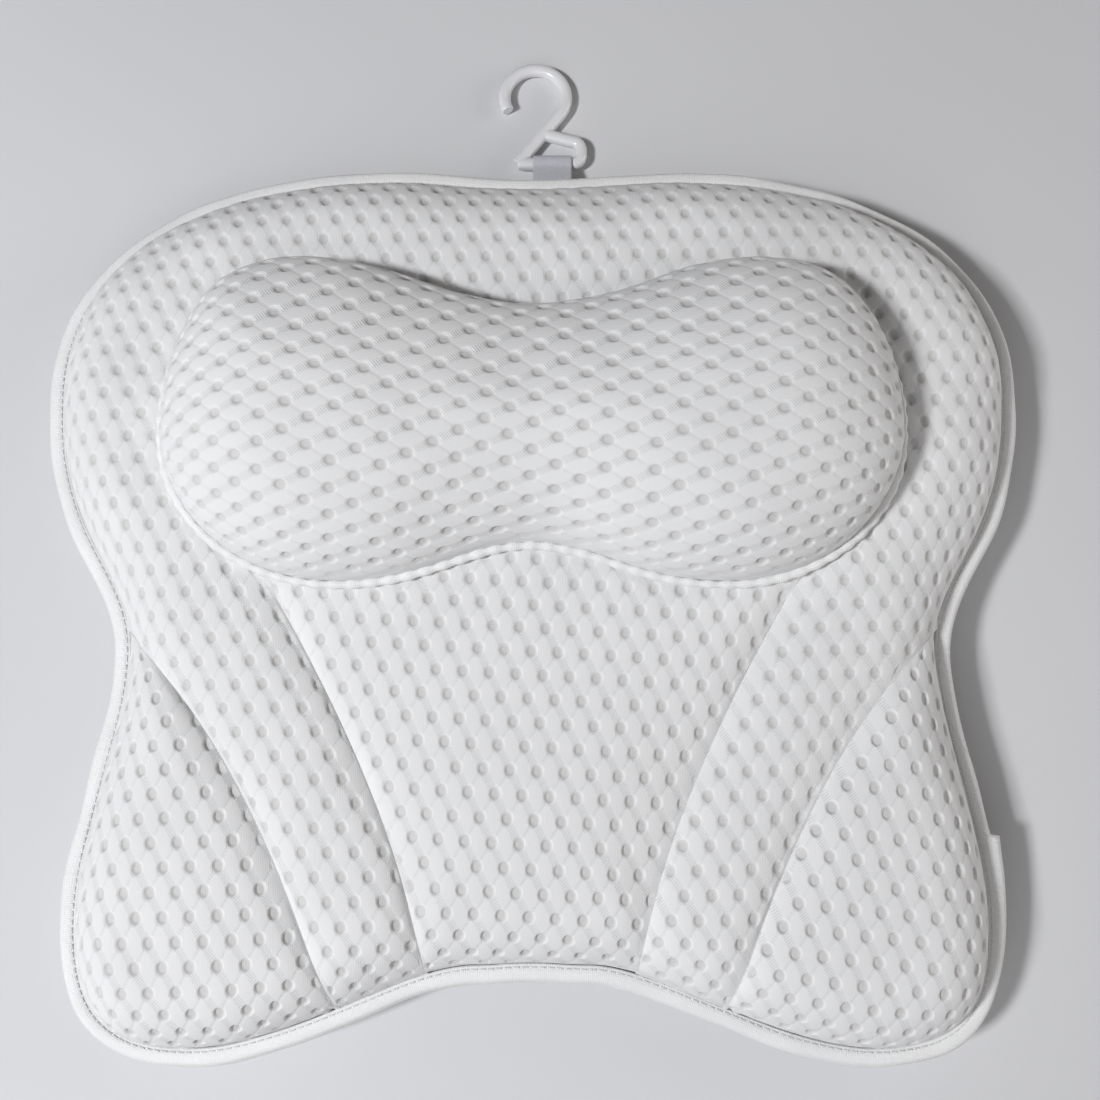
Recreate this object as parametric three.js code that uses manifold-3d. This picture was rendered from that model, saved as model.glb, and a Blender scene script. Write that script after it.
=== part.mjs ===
// Bath pillow of white air mesh: a butterfly-shaped pad with a raised bone-shaped headrest, a taped edge,
// a hook on a ribbon tab and suction cups on the back. Millimetres, +Z up, lying face up on its cups.
import * as THREE from "three";
import { mergeVertices } from "three/addons/utils/BufferGeometryUtils.js";
import Module from "manifold-3d";

// Pad outline, from the middle of the pad: X is a half width, Y runs towards the hook. An inset is
// measured inwards from the line of the shoulders.
const PAD_WIDTH = 400;
const SHOULDER_Y = 84;
const WAIST_INSET = 33;
const WAIST_Y = -28;
const WING_INSET = 18;
const WING_Y = -126;
const WING_TIP_INSET = 70;
const WING_TIP_Y = -182;
const NOTCH_X = 22;
const NOTCH_Y = -152;
const NOTCH_ARCH = 0.8;
const CREST_X = 60;
const CREST_Y = 180.5;
const TOP_DIP = 3;

// Quilting seams of the front, and the arch of the yoke under the headrest. A pull is how far a curve is drawn
// out of its straight way, measured from one of its ends.
const STRAP_SEAM_INSET = 92;
const STRAP_SEAM_Y = 10;
const STRAP_TOP_PULL = { x: -30, y: -46 };
const STRAP_FOOT_PULL = { x: 2, y: 46 };
const WING_TOP_PULL = { x: -46, y: -30 };
const WING_FOOT_PULL = { x: 20, y: 58 };
const ARCH_Y = 58;
const ARCH_PULL = { x: 18, y: 28 };
const SEAM_GAP = 0.4;
const SEAM_TRIM_MOST = 0.4;
const NOTCH_FADE = 4;

// Headrest outline at its seam
const HEAD_FOOT_DIP_Y = 14;
const HEAD_FOOT_X = 74;
const HEAD_FOOT_Y = -1;
const HEAD_SIDE_INSET = 58;
const HEAD_SIDE_Y = 58;
const HEAD_HUMP_X = 88;
const HEAD_HUMP_Y = 121;
const HEAD_TOP_DIP_Y = 103;

// Heights and layers of the pad
const CUP_HEIGHT = 15;
const BACK_THICKNESS = 3;
const FLANGE_THICKNESS = 3;
const FLANGE_WIDTH = 8;
const COVER_THICKNESS = 7;
const PAD_CROWN = 31;
const RIM_RUN = 36;
const CHANNEL_DEPTH = 13;
const CHANNEL_RUN = 22;
const SEAT_RUN = 22;
const CLEARANCE = 0.3;
const PRESS_SLACK = 0.1;
const FILL_GAP = 3;
const FILL_LEAST = 1;
const POCKET_ROOM = 1;

// Headrest crown and its corded seam
const HEAD_CROWN = 44;
const HEAD_RUN = 56;
const HEAD_SADDLE = 5;
const HEAD_SADDLE_REACH = 60;
const WELT_DIAMETER = 2.4;

// Edge binding
const TAPE_WIDTH = 6.5;
const TAPE_THICKNESS = 1.2;
const TAPE_ROUNDING = 1.6;
const EDGE_EASE = 1;

// Suction cups and the eyelets that hold their necks
const UPPER_CUPS = { inset: 80, y: 104 };
const MIDDLE_CUPS = { inset: 140, y: -14 };
const LOWER_CUPS = { inset: 64, y: -118 };
const CUP_RIM_RADIUS = 27;
const CUP_RIM_WIDTH = 3;
const CUP_LIP = 1.4;
const CUP_HOLLOW = 8;
const CUP_FLARE = 0.55;
const CUP_DOME = 0.6;
const CUP_SHOULDER_RADIUS = 12;
const CUP_NECK_RADIUS = 6;
const CUP_HEAD_RADIUS = 9;
const CUP_HEAD_HEIGHT = 4;
const EYELET_WALL = 1.6;
const EYELET_FLANGE = 3.2;
const EYELET_PLATE = 1;

// Ribbon tab and hook
const TAB_X = 8;
const TAB_WIDTH = 17;
const TAB_THICKNESS = 1.8;
const TAB_ROOT = 14;
const TAB_REACH = 16.5;
const EYE_WALL = 0.9;
const EYE_FLOOR_GAP = 0.6;
const HOOK_BAR = 5.4;
const HOOK_ARC_RADIUS = 13.8;
const HOOK_ARC_X = -7.5;
const HOOK_ARC_Y = 32.5;
const HOOK_TIP_ANGLE = 207;
const HOOK_ARM_Y = 14.5;
const HOOK_LEG_Y = 10.8;
const HOOK_BEND = 4;

// Fineness of the faceted pieces
const WELD = 1e-3;
const ROUND_SIDES = 16;
const CORD_SIDES = 6;
const HOOK_SIDES = 8;
const HOOK_STEM_SHARES = [0, 0.3, 0.6, 0.9];
const HOOK_STEM_STEPS = 30;
const HOOK_LOOP_STEPS = 24;
const HOOK_CROOK_STEPS = 12;
const HOOK_BEND_STEPS = 2;
const SEAM_STEPS = 8;
const SEAM_FEET_APART = 3;
const ACROSS_STEPS = 8;
const FLANGE_LEAST = 0.02;
const FLANGE_MOST = 0.5;
const FLANGE_SEARCH = 0.005;
const EDGE_STEPS = { crest: 3, shoulder: 7, waist: 6, wing: 4, tip: 6, notch: 10, middle: 2 };
const HEAD_STEPS = { middle: 6, end: 7 };
const CORE_SKIP = { yoke: 2, wing: 3, centreTop: 4, centreFoot: 2 };

// Places and levels that follow from the sizes above
const SHOULDER_X = PAD_WIDTH / 2;
const WAIST_X = SHOULDER_X - WAIST_INSET;
const WING_X = SHOULDER_X - WING_INSET;
const WING_TIP_X = SHOULDER_X - WING_TIP_INSET;
const STRAP_SEAM_X = SHOULDER_X - STRAP_SEAM_INSET;
const HEAD_SIDE_X = SHOULDER_X - HEAD_SIDE_INSET;
const BACK_Z = CUP_HEIGHT;
const BACK_TOP_Z = BACK_Z + BACK_THICKNESS;
const FLANGE_Z = BACK_TOP_Z + CLEARANCE;
const FLANGE_TOP_Z = FLANGE_Z + FLANGE_THICKNESS;
const SEAT_Z = FLANGE_TOP_Z + PAD_CROWN;
const TAPE_TOP_Z = FLANGE_TOP_Z + CLEARANCE + TAPE_THICKNESS;
const TAPE_BASE_Z = BACK_Z - CLEARANCE - TAPE_THICKNESS;
const EDGE_INSET = TAPE_THICKNESS + CLEARANCE + EDGE_EASE;
const EYELET_BORE = CUP_NECK_RADIUS + CLEARANCE;
const EYELET_BARREL = EYELET_BORE + EYELET_WALL;
const EYELET_RADIUS = EYELET_BARREL + EYELET_FLANGE;
const EYELET_BASE_Z = BACK_Z - CLEARANCE - EYELET_PLATE;
const EYELET_TOP_Z = BACK_TOP_Z + CLEARANCE + EYELET_PLATE;

const wasm = await Module();
wasm.setup();

const flat = (x, y) => new THREE.Vector2(x, y);
const pulled = (point, pull) => flat(point.x + pull.x, point.y + pull.y);
const mirrored = (line) => line.map((p) => flat(-p.x, p.y));

// A closed mesh from corner points and triangles, with shared corners merged and its faces turned outwards
function closedGeometry(corners, triangles) {
  const loose = new THREE.BufferGeometry();
  loose.setAttribute("position", new THREE.Float32BufferAttribute(corners.flat(), 3));
  loose.setIndex(triangles.flat());
  const merged = mergeVertices(loose, WELD);
  const index = merged.index.array;
  const position = merged.getAttribute("position");
  const a = new THREE.Vector3();
  const b = new THREE.Vector3();
  const c = new THREE.Vector3();
  const kept = [];
  let volume = 0;
  for (let i = 0; i < index.length; i += 3) {
    const [p, q, r] = [index[i], index[i + 1], index[i + 2]];
    if (p === q || q === r || r === p) continue;
    kept.push([p, q, r]);
    a.fromBufferAttribute(position, p);
    b.fromBufferAttribute(position, q);
    c.fromBufferAttribute(position, r);
    volume += a.dot(b.cross(c));
  }
  merged.setIndex((volume < 0 ? kept.map(([p, q, r]) => [p, r, q]) : kept).flat());
  return merged;
}

// A geometry as a solid for joining and cutting, and a solid as a geometry again
function solidOf(geometry) {
  const bare = geometry.clone();
  bare.deleteAttribute("normal");
  bare.deleteAttribute("uv");
  const merged = mergeVertices(bare, WELD);
  const vertProperties = merged.getAttribute("position").array;
  const triVerts = new Uint32Array(merged.index.array);
  return new wasm.Manifold(new wasm.Mesh({ numProp: 3, vertProperties, triVerts }));
}

function geometryOf(solid) {
  const mesh = solid.getMesh();
  const geometry = new THREE.BufferGeometry();
  geometry.setAttribute("position", new THREE.BufferAttribute(mesh.vertProperties, 3));
  geometry.setIndex(new THREE.BufferAttribute(mesh.triVerts, 1));
  return geometry;
}

// Edges drawn through landmarks where they run straight along X or Y. A reach is the share of the way to the
// neighbouring landmark over which the edge keeps that direction.
function spanCurve(from, to) {
  const leave = flat(from.x, from.y);
  const arrive = flat(to.x, to.y);
  leave[from.along] += from.reach * (to[from.along] - from[from.along]);
  arrive[to.along] -= to.approach * (to[to.along] - from[to.along]);
  return new THREE.CubicBezierCurve(flat(from.x, from.y), leave, arrive, flat(to.x, to.y));
}

function edgeThrough(marks) {
  const points = [flat(marks[0].x, marks[0].y)];
  for (let i = 1; i < marks.length; i++) {
    const span = spanCurve(marks[i - 1], marks[i]);
    points.push(...span.getPoints(marks[i].steps).slice(1));
  }
  return points;
}

const halfOutline = edgeThrough([
  { x: 0, y: CREST_Y - TOP_DIP, along: "x", reach: 0.5 },
  { x: CREST_X, y: CREST_Y, along: "x", approach: 0.4, reach: 0.6, steps: EDGE_STEPS.crest },
  { x: SHOULDER_X, y: SHOULDER_Y, along: "y", approach: 0.6, reach: 0.62, steps: EDGE_STEPS.shoulder },
  { x: WAIST_X, y: WAIST_Y, along: "y", approach: 0.31, reach: 0.3, steps: EDGE_STEPS.waist },
  { x: WING_X, y: WING_Y, along: "y", approach: 0.35, reach: 0.68, steps: EDGE_STEPS.wing },
  { x: WING_TIP_X, y: WING_TIP_Y, along: "x", approach: 0.68, reach: 0.37, steps: EDGE_STEPS.tip },
  { x: NOTCH_X, y: NOTCH_Y, along: "x", approach: 0.22, reach: 0.5, steps: EDGE_STEPS.notch },
  { x: 0, y: NOTCH_Y + NOTCH_ARCH, along: "x", approach: 0.5, steps: EDGE_STEPS.middle },
]);

// Stations of the half outline where the seams meet the edge
const WAIST_STATION = EDGE_STEPS.crest + EDGE_STEPS.shoulder + EDGE_STEPS.waist;
const WING_SEAM_TOP = WAIST_STATION - 1;
const WING_SEAM_FOOT = WING_SEAM_TOP + 2 * SEAM_STEPS;
const STRAP_SEAM_FOOT = WING_SEAM_FOOT + SEAM_FEET_APART;

// The whole outline clockwise from the top, as seen from above
const padOutline = [...halfOutline, ...mirrored(halfOutline).reverse().slice(1, -1)];

// Direction out of a clockwise loop at one of its points
function outward(loop, i) {
  const before = loop[(i + loop.length - 1) % loop.length];
  const after = loop[(i + 1) % loop.length];
  return flat(before.y - after.y, after.x - before.x).normalize();
}

const insetLoop = (loop, depth) => loop.map((p, i) => p.clone().addScaledVector(outward(loop, i), -depth));

const coverLoop = insetLoop(padOutline, EDGE_INSET);
const coverEdge = coverLoop.slice(0, halfOutline.length);

const halfHeadrest = edgeThrough([
  { x: 0, y: HEAD_TOP_DIP_Y, along: "x", reach: 0.4 },
  { x: HEAD_HUMP_X, y: HEAD_HUMP_Y, along: "x", approach: 0.45, reach: 0.66, steps: HEAD_STEPS.middle },
  { x: HEAD_SIDE_X, y: HEAD_SIDE_Y, along: "y", approach: 0.66, reach: 0.55, steps: HEAD_STEPS.end },
  { x: HEAD_FOOT_X, y: HEAD_FOOT_Y, along: "x", approach: 0.55, reach: 0.47, steps: HEAD_STEPS.end },
  { x: 0, y: HEAD_FOOT_DIP_Y, along: "x", approach: 0.34, steps: HEAD_STEPS.middle },
]);
const headrestLoop = [...halfHeadrest, ...mirrored(halfHeadrest).reverse().slice(1, -1)];
const HEAD_SIDE_STATION = HEAD_STEPS.middle + HEAD_STEPS.end;

// Distances in plan
function distanceToSegment(point, start, end) {
  const way = end.clone().sub(start);
  const share = THREE.MathUtils.clamp(point.clone().sub(start).dot(way) / way.lengthSq(), 0, 1);
  return point.distanceTo(start.clone().addScaledVector(way, share));
}

function distanceToLine(point, line) {
  let least = Infinity;
  for (let i = 1; i < line.length; i++) {
    least = Math.min(least, distanceToSegment(point, line[i - 1], line[i]));
  }
  return least;
}

const closedLine = (loop) => [...loop, loop[0]];

// The share of a way in from the pad's edge that the pressed flange takes up
function flangeShare(pointAt) {
  const edge = closedLine(padOutline);
  const depth = (share) => distanceToLine(pointAt(share), edge);
  let share = FLANGE_LEAST;
  while (share < FLANGE_MOST && depth(share + FLANGE_SEARCH) < FLANGE_WIDTH) share += FLANGE_SEARCH;
  return share;
}

// Seams run from the top down. Where a seam meets the pad's edge, its end step crosses the pressed flange.
function seamLine(curve, meetsEdgeAtTop) {
  const top = meetsEdgeAtTop ? flangeShare((share) => curve.getPointAt(share)) : 0;
  const foot = 1 - flangeShare((share) => curve.getPointAt(1 - share));
  const line = meetsEdgeAtTop ? [curve.getPointAt(0)] : [];
  const steps = SEAM_STEPS - line.length - 1;
  for (let i = 0; i <= steps; i++) line.push(curve.getPointAt(top + ((foot - top) * i) / steps));
  line.push(curve.getPointAt(1));
  return line;
}

const wingSeamTop = coverEdge[WING_SEAM_TOP];
const wingSeamFoot = coverEdge[WING_SEAM_FOOT];
const strapSeamFoot = coverEdge[STRAP_SEAM_FOOT];
const strapSeamTop = flat(STRAP_SEAM_X, STRAP_SEAM_Y);
const wingCurve = new THREE.CubicBezierCurve(
  wingSeamTop,
  pulled(wingSeamTop, WING_TOP_PULL),
  pulled(wingSeamFoot, WING_FOOT_PULL),
  wingSeamFoot,
);
const strapCurve = new THREE.CubicBezierCurve(
  strapSeamTop,
  pulled(strapSeamTop, STRAP_TOP_PULL),
  pulled(strapSeamFoot, STRAP_FOOT_PULL),
  strapSeamFoot,
);
const archCurve = new THREE.CubicBezierCurve(
  flat(0, ARCH_Y),
  flat(STRAP_SEAM_X / 2, ARCH_Y),
  pulled(strapSeamTop, ARCH_PULL),
  strapSeamTop,
);
const wingSeam = seamLine(wingCurve, true);
const strapSeam = seamLine(strapCurve, false);
const arch = archCurve.getPoints(WING_SEAM_TOP);
const seams = [wingSeam, strapSeam, mirrored(wingSeam), mirrored(strapSeam)];

function isInside(point, loop) {
  let inside = false;
  loop.forEach((a, i) => {
    const b = loop[(i + 1) % loop.length];
    const straddles = a.y > point.y !== b.y > point.y;
    if (straddles && point.x < a.x + ((b.x - a.x) * (point.y - a.y)) / (b.y - a.y)) inside = !inside;
  });
  return inside;
}

// A cushion's section: steep at its seam and level once it is one run away from it
function swell(share) {
  const rest = 1 - THREE.MathUtils.clamp(share, 0, 1);
  return Math.sqrt(1 - rest * rest);
}

// How far the front of the pad stands above its pressed edge: a crown inside the edge, drawn down along the
// seams, and level under the headrest
function frontRise(point) {
  const fromEdge = distanceToLine(point, closedLine(padOutline));
  const fromSeam = Math.min(...seams.map((line) => distanceToLine(point, line)));
  const channel = (CHANNEL_DEPTH / PAD_CROWN) * (1 - swell(fromSeam / CHANNEL_RUN));
  const open = PAD_CROWN * swell((fromEdge - FLANGE_WIDTH) / RIM_RUN) * (1 - channel);
  const fromHead = isInside(point, headrestLoop) ? 0 : distanceToLine(point, closedLine(headrestLoop));
  const seatEdge = WELT_DIAMETER + 2 * CLEARANCE;
  return THREE.MathUtils.lerp(PAD_CROWN, open, swell((fromHead - seatEdge) / SEAT_RUN));
}

const UNDERSIDE_SHARE = (FLANGE_TOP_Z + PAD_CROWN - COVER_THICKNESS - FLANGE_Z) / PAD_CROWN;
const coverTop = (point) => FLANGE_TOP_Z + frontRise(point);
const coverUnderside = (point) => FLANGE_Z + UNDERSIDE_SHARE * frontRise(point);
const fillTop = (point) => FLANGE_Z + Math.max(coverUnderside(point) - FILL_GAP - FLANGE_Z, FILL_LEAST);
const fillBase = () => FLANGE_Z;

// Plan points of a panel between two edges with equal counts: one row for each pair of edge points. The first
// edge may be the pad's own edge, so the first step across is the flange.
function panelPlan(first, second) {
  const half = SEAM_GAP / 2;
  return first.map((start, i) => {
    const end = second[i];
    const width = start.distanceTo(end);
    const trim = Math.min(half / Math.max(width, half), SEAM_TRIM_MOST);
    const flange = flangeShare((share) => start.clone().lerp(end, share));
    const row = [start.clone().lerp(end, trim)];
    for (let step = 0; step < ACROSS_STEPS; step++) {
      const share = (1 - Math.cos((Math.PI * step) / (ACROSS_STEPS - 1))) / 2;
      row.push(start.clone().lerp(end, flange + (1 - trim - flange) * share));
    }
    return row;
  });
}

// A closed layer over plan rows, between an upper and a lower height
function layer(rows, upper, lower) {
  const width = rows[0].length;
  const plan = rows.flat();
  const corners = [...plan.map((p) => [p.x, p.y, upper(p)]), ...plan.map((p) => [p.x, p.y, lower(p)])];
  const below = plan.length;
  const triangles = [];
  for (let i = 0; i + 1 < rows.length; i++) {
    for (let j = 0; j + 1 < width; j++) {
      const a = i * width + j;
      const b = a + 1;
      const c = a + width;
      const d = c + 1;
      triangles.push([a, b, d], [a, d, c]);
      triangles.push([a + below, d + below, b + below], [a + below, c + below, d + below]);
    }
  }
  const rim = [];
  for (let j = 0; j < width; j++) rim.push(j);
  for (let i = 1; i < rows.length; i++) rim.push(i * width + width - 1);
  for (let j = width - 2; j >= 0; j--) rim.push((rows.length - 1) * width + j);
  for (let i = rows.length - 2; i > 0; i--) rim.push(i * width);
  rim.forEach((from, k) => {
    const to = rim[(k + 1) % rim.length];
    triangles.push([from, from + below, to + below], [from, to + below, to]);
  });
  return closedGeometry(corners, triangles);
}

// Every second plan row and point, well inside the panel, for the core under it
function corePlan(rows, skip) {
  const inner = rows.slice(skip, rows.length - skip);
  return inner.filter((row, i) => i % 2 === 0).map((row) => row.filter((p, j) => j > 1 && j % 2 === 1));
}

const bothSides = (line) => [...mirrored(line).reverse(), ...line.slice(1)];

// Yoke: from the foot of the left strap over the top of the pad to the foot of the right strap
const yokeRows = panelPlan(
  bothSides([...coverEdge.slice(0, WING_SEAM_TOP + 1), ...wingSeam.slice(1)]),
  bothSides([...arch, ...strapSeam.slice(1)]),
);

// Wings: from the waist round the wing to the foot of the strap
const wingEdge = coverEdge.slice(WING_SEAM_TOP, WING_SEAM_FOOT + 1);
const wingInner = wingEdge.map((p, i) => {
  const lower = wingSeam[Math.ceil(i / 2)];
  return wingSeam[Math.floor(i / 2)].clone().lerp(lower, 0.5);
});
const wingRows = panelPlan(wingEdge, wingInner);
const leftWingRows = wingRows.map((row) => mirrored(row));

// Centre: rows from side to side, whose last ones follow the notch of the edge
function centrePlan() {
  const side = [...arch.slice(1), ...strapSeam.slice(1)];
  const notch = coverEdge.slice(STRAP_SEAM_FOOT).reverse();
  const notchPoints = bothSides(notch).map((p) => new THREE.Vector3(p.x, p.y, 0));
  const notchLine = new THREE.CatmullRomCurve3(notchPoints);
  return side.map((end, i) => {
    const half = end.x - SEAM_GAP / 2;
    const bend = ((i + 1) / side.length) ** NOTCH_FADE;
    const row = [];
    for (let step = 0; step <= ACROSS_STEPS; step++) {
      const share = (1 - Math.cos((Math.PI * step) / ACROSS_STEPS)) / 2;
      const foot = notchLine.getPointAt(share);
      row.push(flat(half * (2 * share - 1), end.y + bend * (foot.y - strapSeamFoot.y)));
    }
    return row;
  });
}
const centreRows = centrePlan();

// Headrest: rows from its foot to its top, between its left and right ends
function headrestPlan(inset) {
  const loop = insetLoop(headrestLoop, inset);
  const half = loop.slice(0, halfHeadrest.length);
  const top = bothSides(half.slice(0, HEAD_SIDE_STATION + 1));
  const foot = bothSides(half.slice(HEAD_SIDE_STATION).reverse());
  return foot.map((start, i) => {
    const row = [];
    for (let step = 0; step <= ACROSS_STEPS; step++) {
      const share = (1 - Math.cos((Math.PI * step) / ACROSS_STEPS)) / 2;
      row.push(start.clone().lerp(top[i], share));
    }
    return row;
  });
}

const group = new THREE.Group();
const airMesh = { color: 0xf3f2ee, roughness: 0.9, metalness: 0 };
const core = { color: 0xe9e7e1, roughness: 0.95, metalness: 0 };
const tape = { color: 0xf5f4f1, roughness: 0.8, metalness: 0 };
const ribbon = { color: 0xc9c9d2, roughness: 0.7, metalness: 0 };
const whitePlastic = { color: 0xf0f0f2, roughness: 0.25, metalness: 0 };
const clearVinyl = { color: 0xdfe6e8, roughness: 0.15, metalness: 0 };

function addPiece(name, geometry, finish, parent = group) {
  const mesh = new THREE.Mesh(geometry, new THREE.MeshStandardMaterial(finish));
  mesh.name = name;
  parent.add(mesh);
  return mesh;
}

// A closed ring: a section of [outward, up] points carried round a clockwise loop
function ring(loop, section) {
  const corners = loop.flatMap((p, i) => {
    const out = outward(loop, i);
    return section.map(([reach, up]) => [p.x + reach * out.x, p.y + reach * out.y, up]);
  });
  const triangles = [];
  const count = section.length;
  loop.forEach((p, i) => {
    const here = i * count;
    const next = ((i + 1) % loop.length) * count;
    section.forEach((q, k) => {
      const l = (k + 1) % count;
      triangles.push([here + k, here + l, next + l], [here + k, next + l, next + k]);
    });
  });
  return closedGeometry(corners, triangles);
}

// Front panels, pressed flat where the tape lies over them
const pressedZ = FLANGE_TOP_Z + PRESS_SLACK;
const tapeRoom = solidOf(
  ring(padOutline, [
    [-TAPE_WIDTH - CLEARANCE, pressedZ],
    [-TAPE_WIDTH - CLEARANCE, pressedZ + PAD_CROWN],
    [CLEARANCE, pressedZ + PAD_CROWN],
    [CLEARANCE, pressedZ],
  ]),
);
const frontPanel = (rows) => geometryOf(solidOf(layer(rows, coverTop, coverUnderside)).subtract(tapeRoom));

addPiece("yoke_cover", frontPanel(yokeRows), airMesh);
addPiece("centre_cover", frontPanel(centreRows), airMesh);
addPiece("left_wing_cover", frontPanel(leftWingRows), airMesh);
addPiece("right_wing_cover", frontPanel(wingRows), airMesh);

// Headrest: an open-bottomed shell of mesh round its core, and the cord in its seam
const headFloorZ = SEAT_Z + CLEARANCE;

function headRise(point, crown, edge) {
  const saddle = HEAD_SADDLE * Math.exp(-((point.x / HEAD_SADDLE_REACH) ** 2));
  return (crown - saddle) * swell(distanceToLine(point, edge) / HEAD_RUN);
}

function headrestShell() {
  const outer = headrestPlan(0);
  const inner = headrestPlan(COVER_THICKNESS);
  const outerEdge = closedLine(headrestLoop);
  const innerEdge = closedLine(insetLoop(headrestLoop, COVER_THICKNESS));
  const outerTop = (p) => headFloorZ + headRise(p, HEAD_CROWN, outerEdge);
  const innerTop = (p) => headFloorZ + headRise(p, HEAD_CROWN - COVER_THICKNESS, innerEdge);
  const whole = solidOf(layer(outer, outerTop, () => headFloorZ));
  const hollow = solidOf(layer(inner, innerTop, () => headFloorZ - CLEARANCE));
  return geometryOf(whole.subtract(hollow));
}

function headrestCore() {
  const inset = COVER_THICKNESS + FILL_GAP;
  const edge = closedLine(insetLoop(headrestLoop, inset));
  const crown = HEAD_CROWN - COVER_THICKNESS - FILL_GAP;
  const rows = headrestPlan(inset).filter((row, i) => i % 2 === 0);
  return layer(rows, (p) => headFloorZ + headRise(p, crown, edge), () => headFloorZ);
}

addPiece("headrest_cover", headrestShell(), airMesh);
addPiece("headrest_fill", headrestCore(), core);

const weltRadius = WELT_DIAMETER / 2;
const weltSection = [];
for (let k = 0; k < CORD_SIDES; k++) {
  const turn = (2 * Math.PI * (k + 0.5)) / CORD_SIDES;
  const reach = weltRadius + CLEARANCE + weltRadius * Math.cos(turn);
  weltSection.push([reach, headFloorZ + weltRadius + weltRadius * Math.sin(turn)]);
}
addPiece("headrest_welt", ring(headrestLoop, weltSection), tape);

// Tape folded round the pressed edge of the covers and the back panel
const tapeOuter = -TAPE_ROUNDING;
const tapeInner = -TAPE_THICKNESS;
const tapeSection = [
  [-TAPE_WIDTH, TAPE_TOP_Z],
  [tapeOuter, TAPE_TOP_Z],
  [0, TAPE_TOP_Z - TAPE_ROUNDING],
  [0, TAPE_BASE_Z + TAPE_ROUNDING],
  [tapeOuter, TAPE_BASE_Z],
  [-TAPE_WIDTH, TAPE_BASE_Z],
  [-TAPE_WIDTH, TAPE_BASE_Z + TAPE_THICKNESS],
  [tapeInner, TAPE_BASE_Z + TAPE_THICKNESS],
  [tapeInner, TAPE_TOP_Z - TAPE_THICKNESS],
  [-TAPE_WIDTH, TAPE_TOP_Z - TAPE_THICKNESS],
];
addPiece("edge_binding", ring(padOutline, tapeSection), tape);

// Back panel with a hole for each eyelet
const cupPlaces = [UPPER_CUPS, MIDDLE_CUPS, LOWER_CUPS].flatMap(({ inset, y }) => {
  const x = SHOULDER_X - inset;
  return [flat(-x, y), flat(x, y)];
});

function backPanel() {
  const shape = new THREE.Shape(coverLoop);
  cupPlaces.forEach(({ x, y }) => {
    shape.holes.push(new THREE.Path().absarc(x, y, EYELET_BARREL + CLEARANCE, 0, 2 * Math.PI, false));
  });
  const settings = { depth: BACK_THICKNESS, bevelEnabled: false, curveSegments: ROUND_SIDES / 2 };
  return new THREE.ExtrudeGeometry(shape, settings).translate(0, 0, BACK_Z);
}
addPiece("back_panel", backPanel(), airMesh);

// Cores under the front panels, with a pocket over each cup's head
const headBaseZ = EYELET_TOP_Z + CLEARANCE;
const headTopZ = headBaseZ + CUP_HEAD_HEIGHT;

function cored(rows) {
  let solid = solidOf(layer(rows, fillTop, fillBase));
  const depth = 2 * (headTopZ + CLEARANCE - FLANGE_Z);
  const radius = Math.max(CUP_HEAD_RADIUS, EYELET_RADIUS) + POCKET_ROOM;
  cupPlaces.forEach(({ x, y }) => {
    const pocket = new THREE.CylinderGeometry(radius, radius, depth, ROUND_SIDES);
    pocket.rotateX(Math.PI / 2).translate(x, y, FLANGE_Z);
    solid = solid.subtract(solidOf(pocket));
  });
  return geometryOf(solid);
}

const openCentreRows = centreRows.slice(CORE_SKIP.centreTop, -CORE_SKIP.centreFoot);
const centreCoreRows = openCentreRows.filter((row, i) => i % 2 === 0);
addPiece("yoke_fill", cored(corePlan(yokeRows, CORE_SKIP.yoke)), core);
addPiece("centre_fill", cored(centreCoreRows.map((row) => row.slice(1, -1))), core);
addPiece("left_wing_fill", cored(corePlan(leftWingRows, CORE_SKIP.wing)), core);
addPiece("right_wing_fill", cored(corePlan(wingRows, CORE_SKIP.wing)), core);

// A turned piece: a closed profile of [radius, height] points round its own axis
function turned(profile) {
  const points = profile.map(([radius, z]) => flat(radius, z));
  const lathe = new THREE.LatheGeometry(points, ROUND_SIDES).rotateX(Math.PI / 2);
  const position = lathe.getAttribute("position");
  const corners = [];
  for (let i = 0; i < position.count; i++) {
    corners.push([position.getX(i), position.getY(i), position.getZ(i)]);
  }
  return closedGeometry(corners, Array.from(lathe.index.array).map((v) => [v]));
}

const eyeletProfile = [
  [EYELET_BORE, EYELET_BASE_Z],
  [EYELET_RADIUS, EYELET_BASE_Z],
  [EYELET_RADIUS, EYELET_BASE_Z + EYELET_PLATE],
  [EYELET_BARREL, EYELET_BASE_Z + EYELET_PLATE],
  [EYELET_BARREL, EYELET_TOP_Z - EYELET_PLATE],
  [EYELET_RADIUS, EYELET_TOP_Z - EYELET_PLATE],
  [EYELET_RADIUS, EYELET_TOP_Z],
  [EYELET_BORE, EYELET_TOP_Z],
  [EYELET_BORE, EYELET_BASE_Z],
];
const cupShoulderZ = EYELET_BASE_Z - CLEARANCE;
const cupMiddleRadius = (CUP_SHOULDER_RADIUS + CUP_RIM_RADIUS) / 2;
const cupProfile = [
  [0, headTopZ],
  [CUP_HEAD_RADIUS - CUP_LIP, headTopZ],
  [CUP_HEAD_RADIUS, headTopZ - CUP_LIP],
  [CUP_HEAD_RADIUS, headBaseZ],
  [CUP_NECK_RADIUS, headBaseZ],
  [CUP_NECK_RADIUS, cupShoulderZ],
  [CUP_SHOULDER_RADIUS, cupShoulderZ],
  [cupMiddleRadius, cupShoulderZ * CUP_FLARE],
  [CUP_RIM_RADIUS, CUP_LIP],
  [CUP_RIM_RADIUS, 0],
  [CUP_RIM_RADIUS - CUP_RIM_WIDTH, 0],
  [cupMiddleRadius - CUP_LIP, CUP_HOLLOW * CUP_DOME],
  [CUP_SHOULDER_RADIUS / 2, CUP_HOLLOW],
  [0, CUP_HOLLOW],
];
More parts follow.
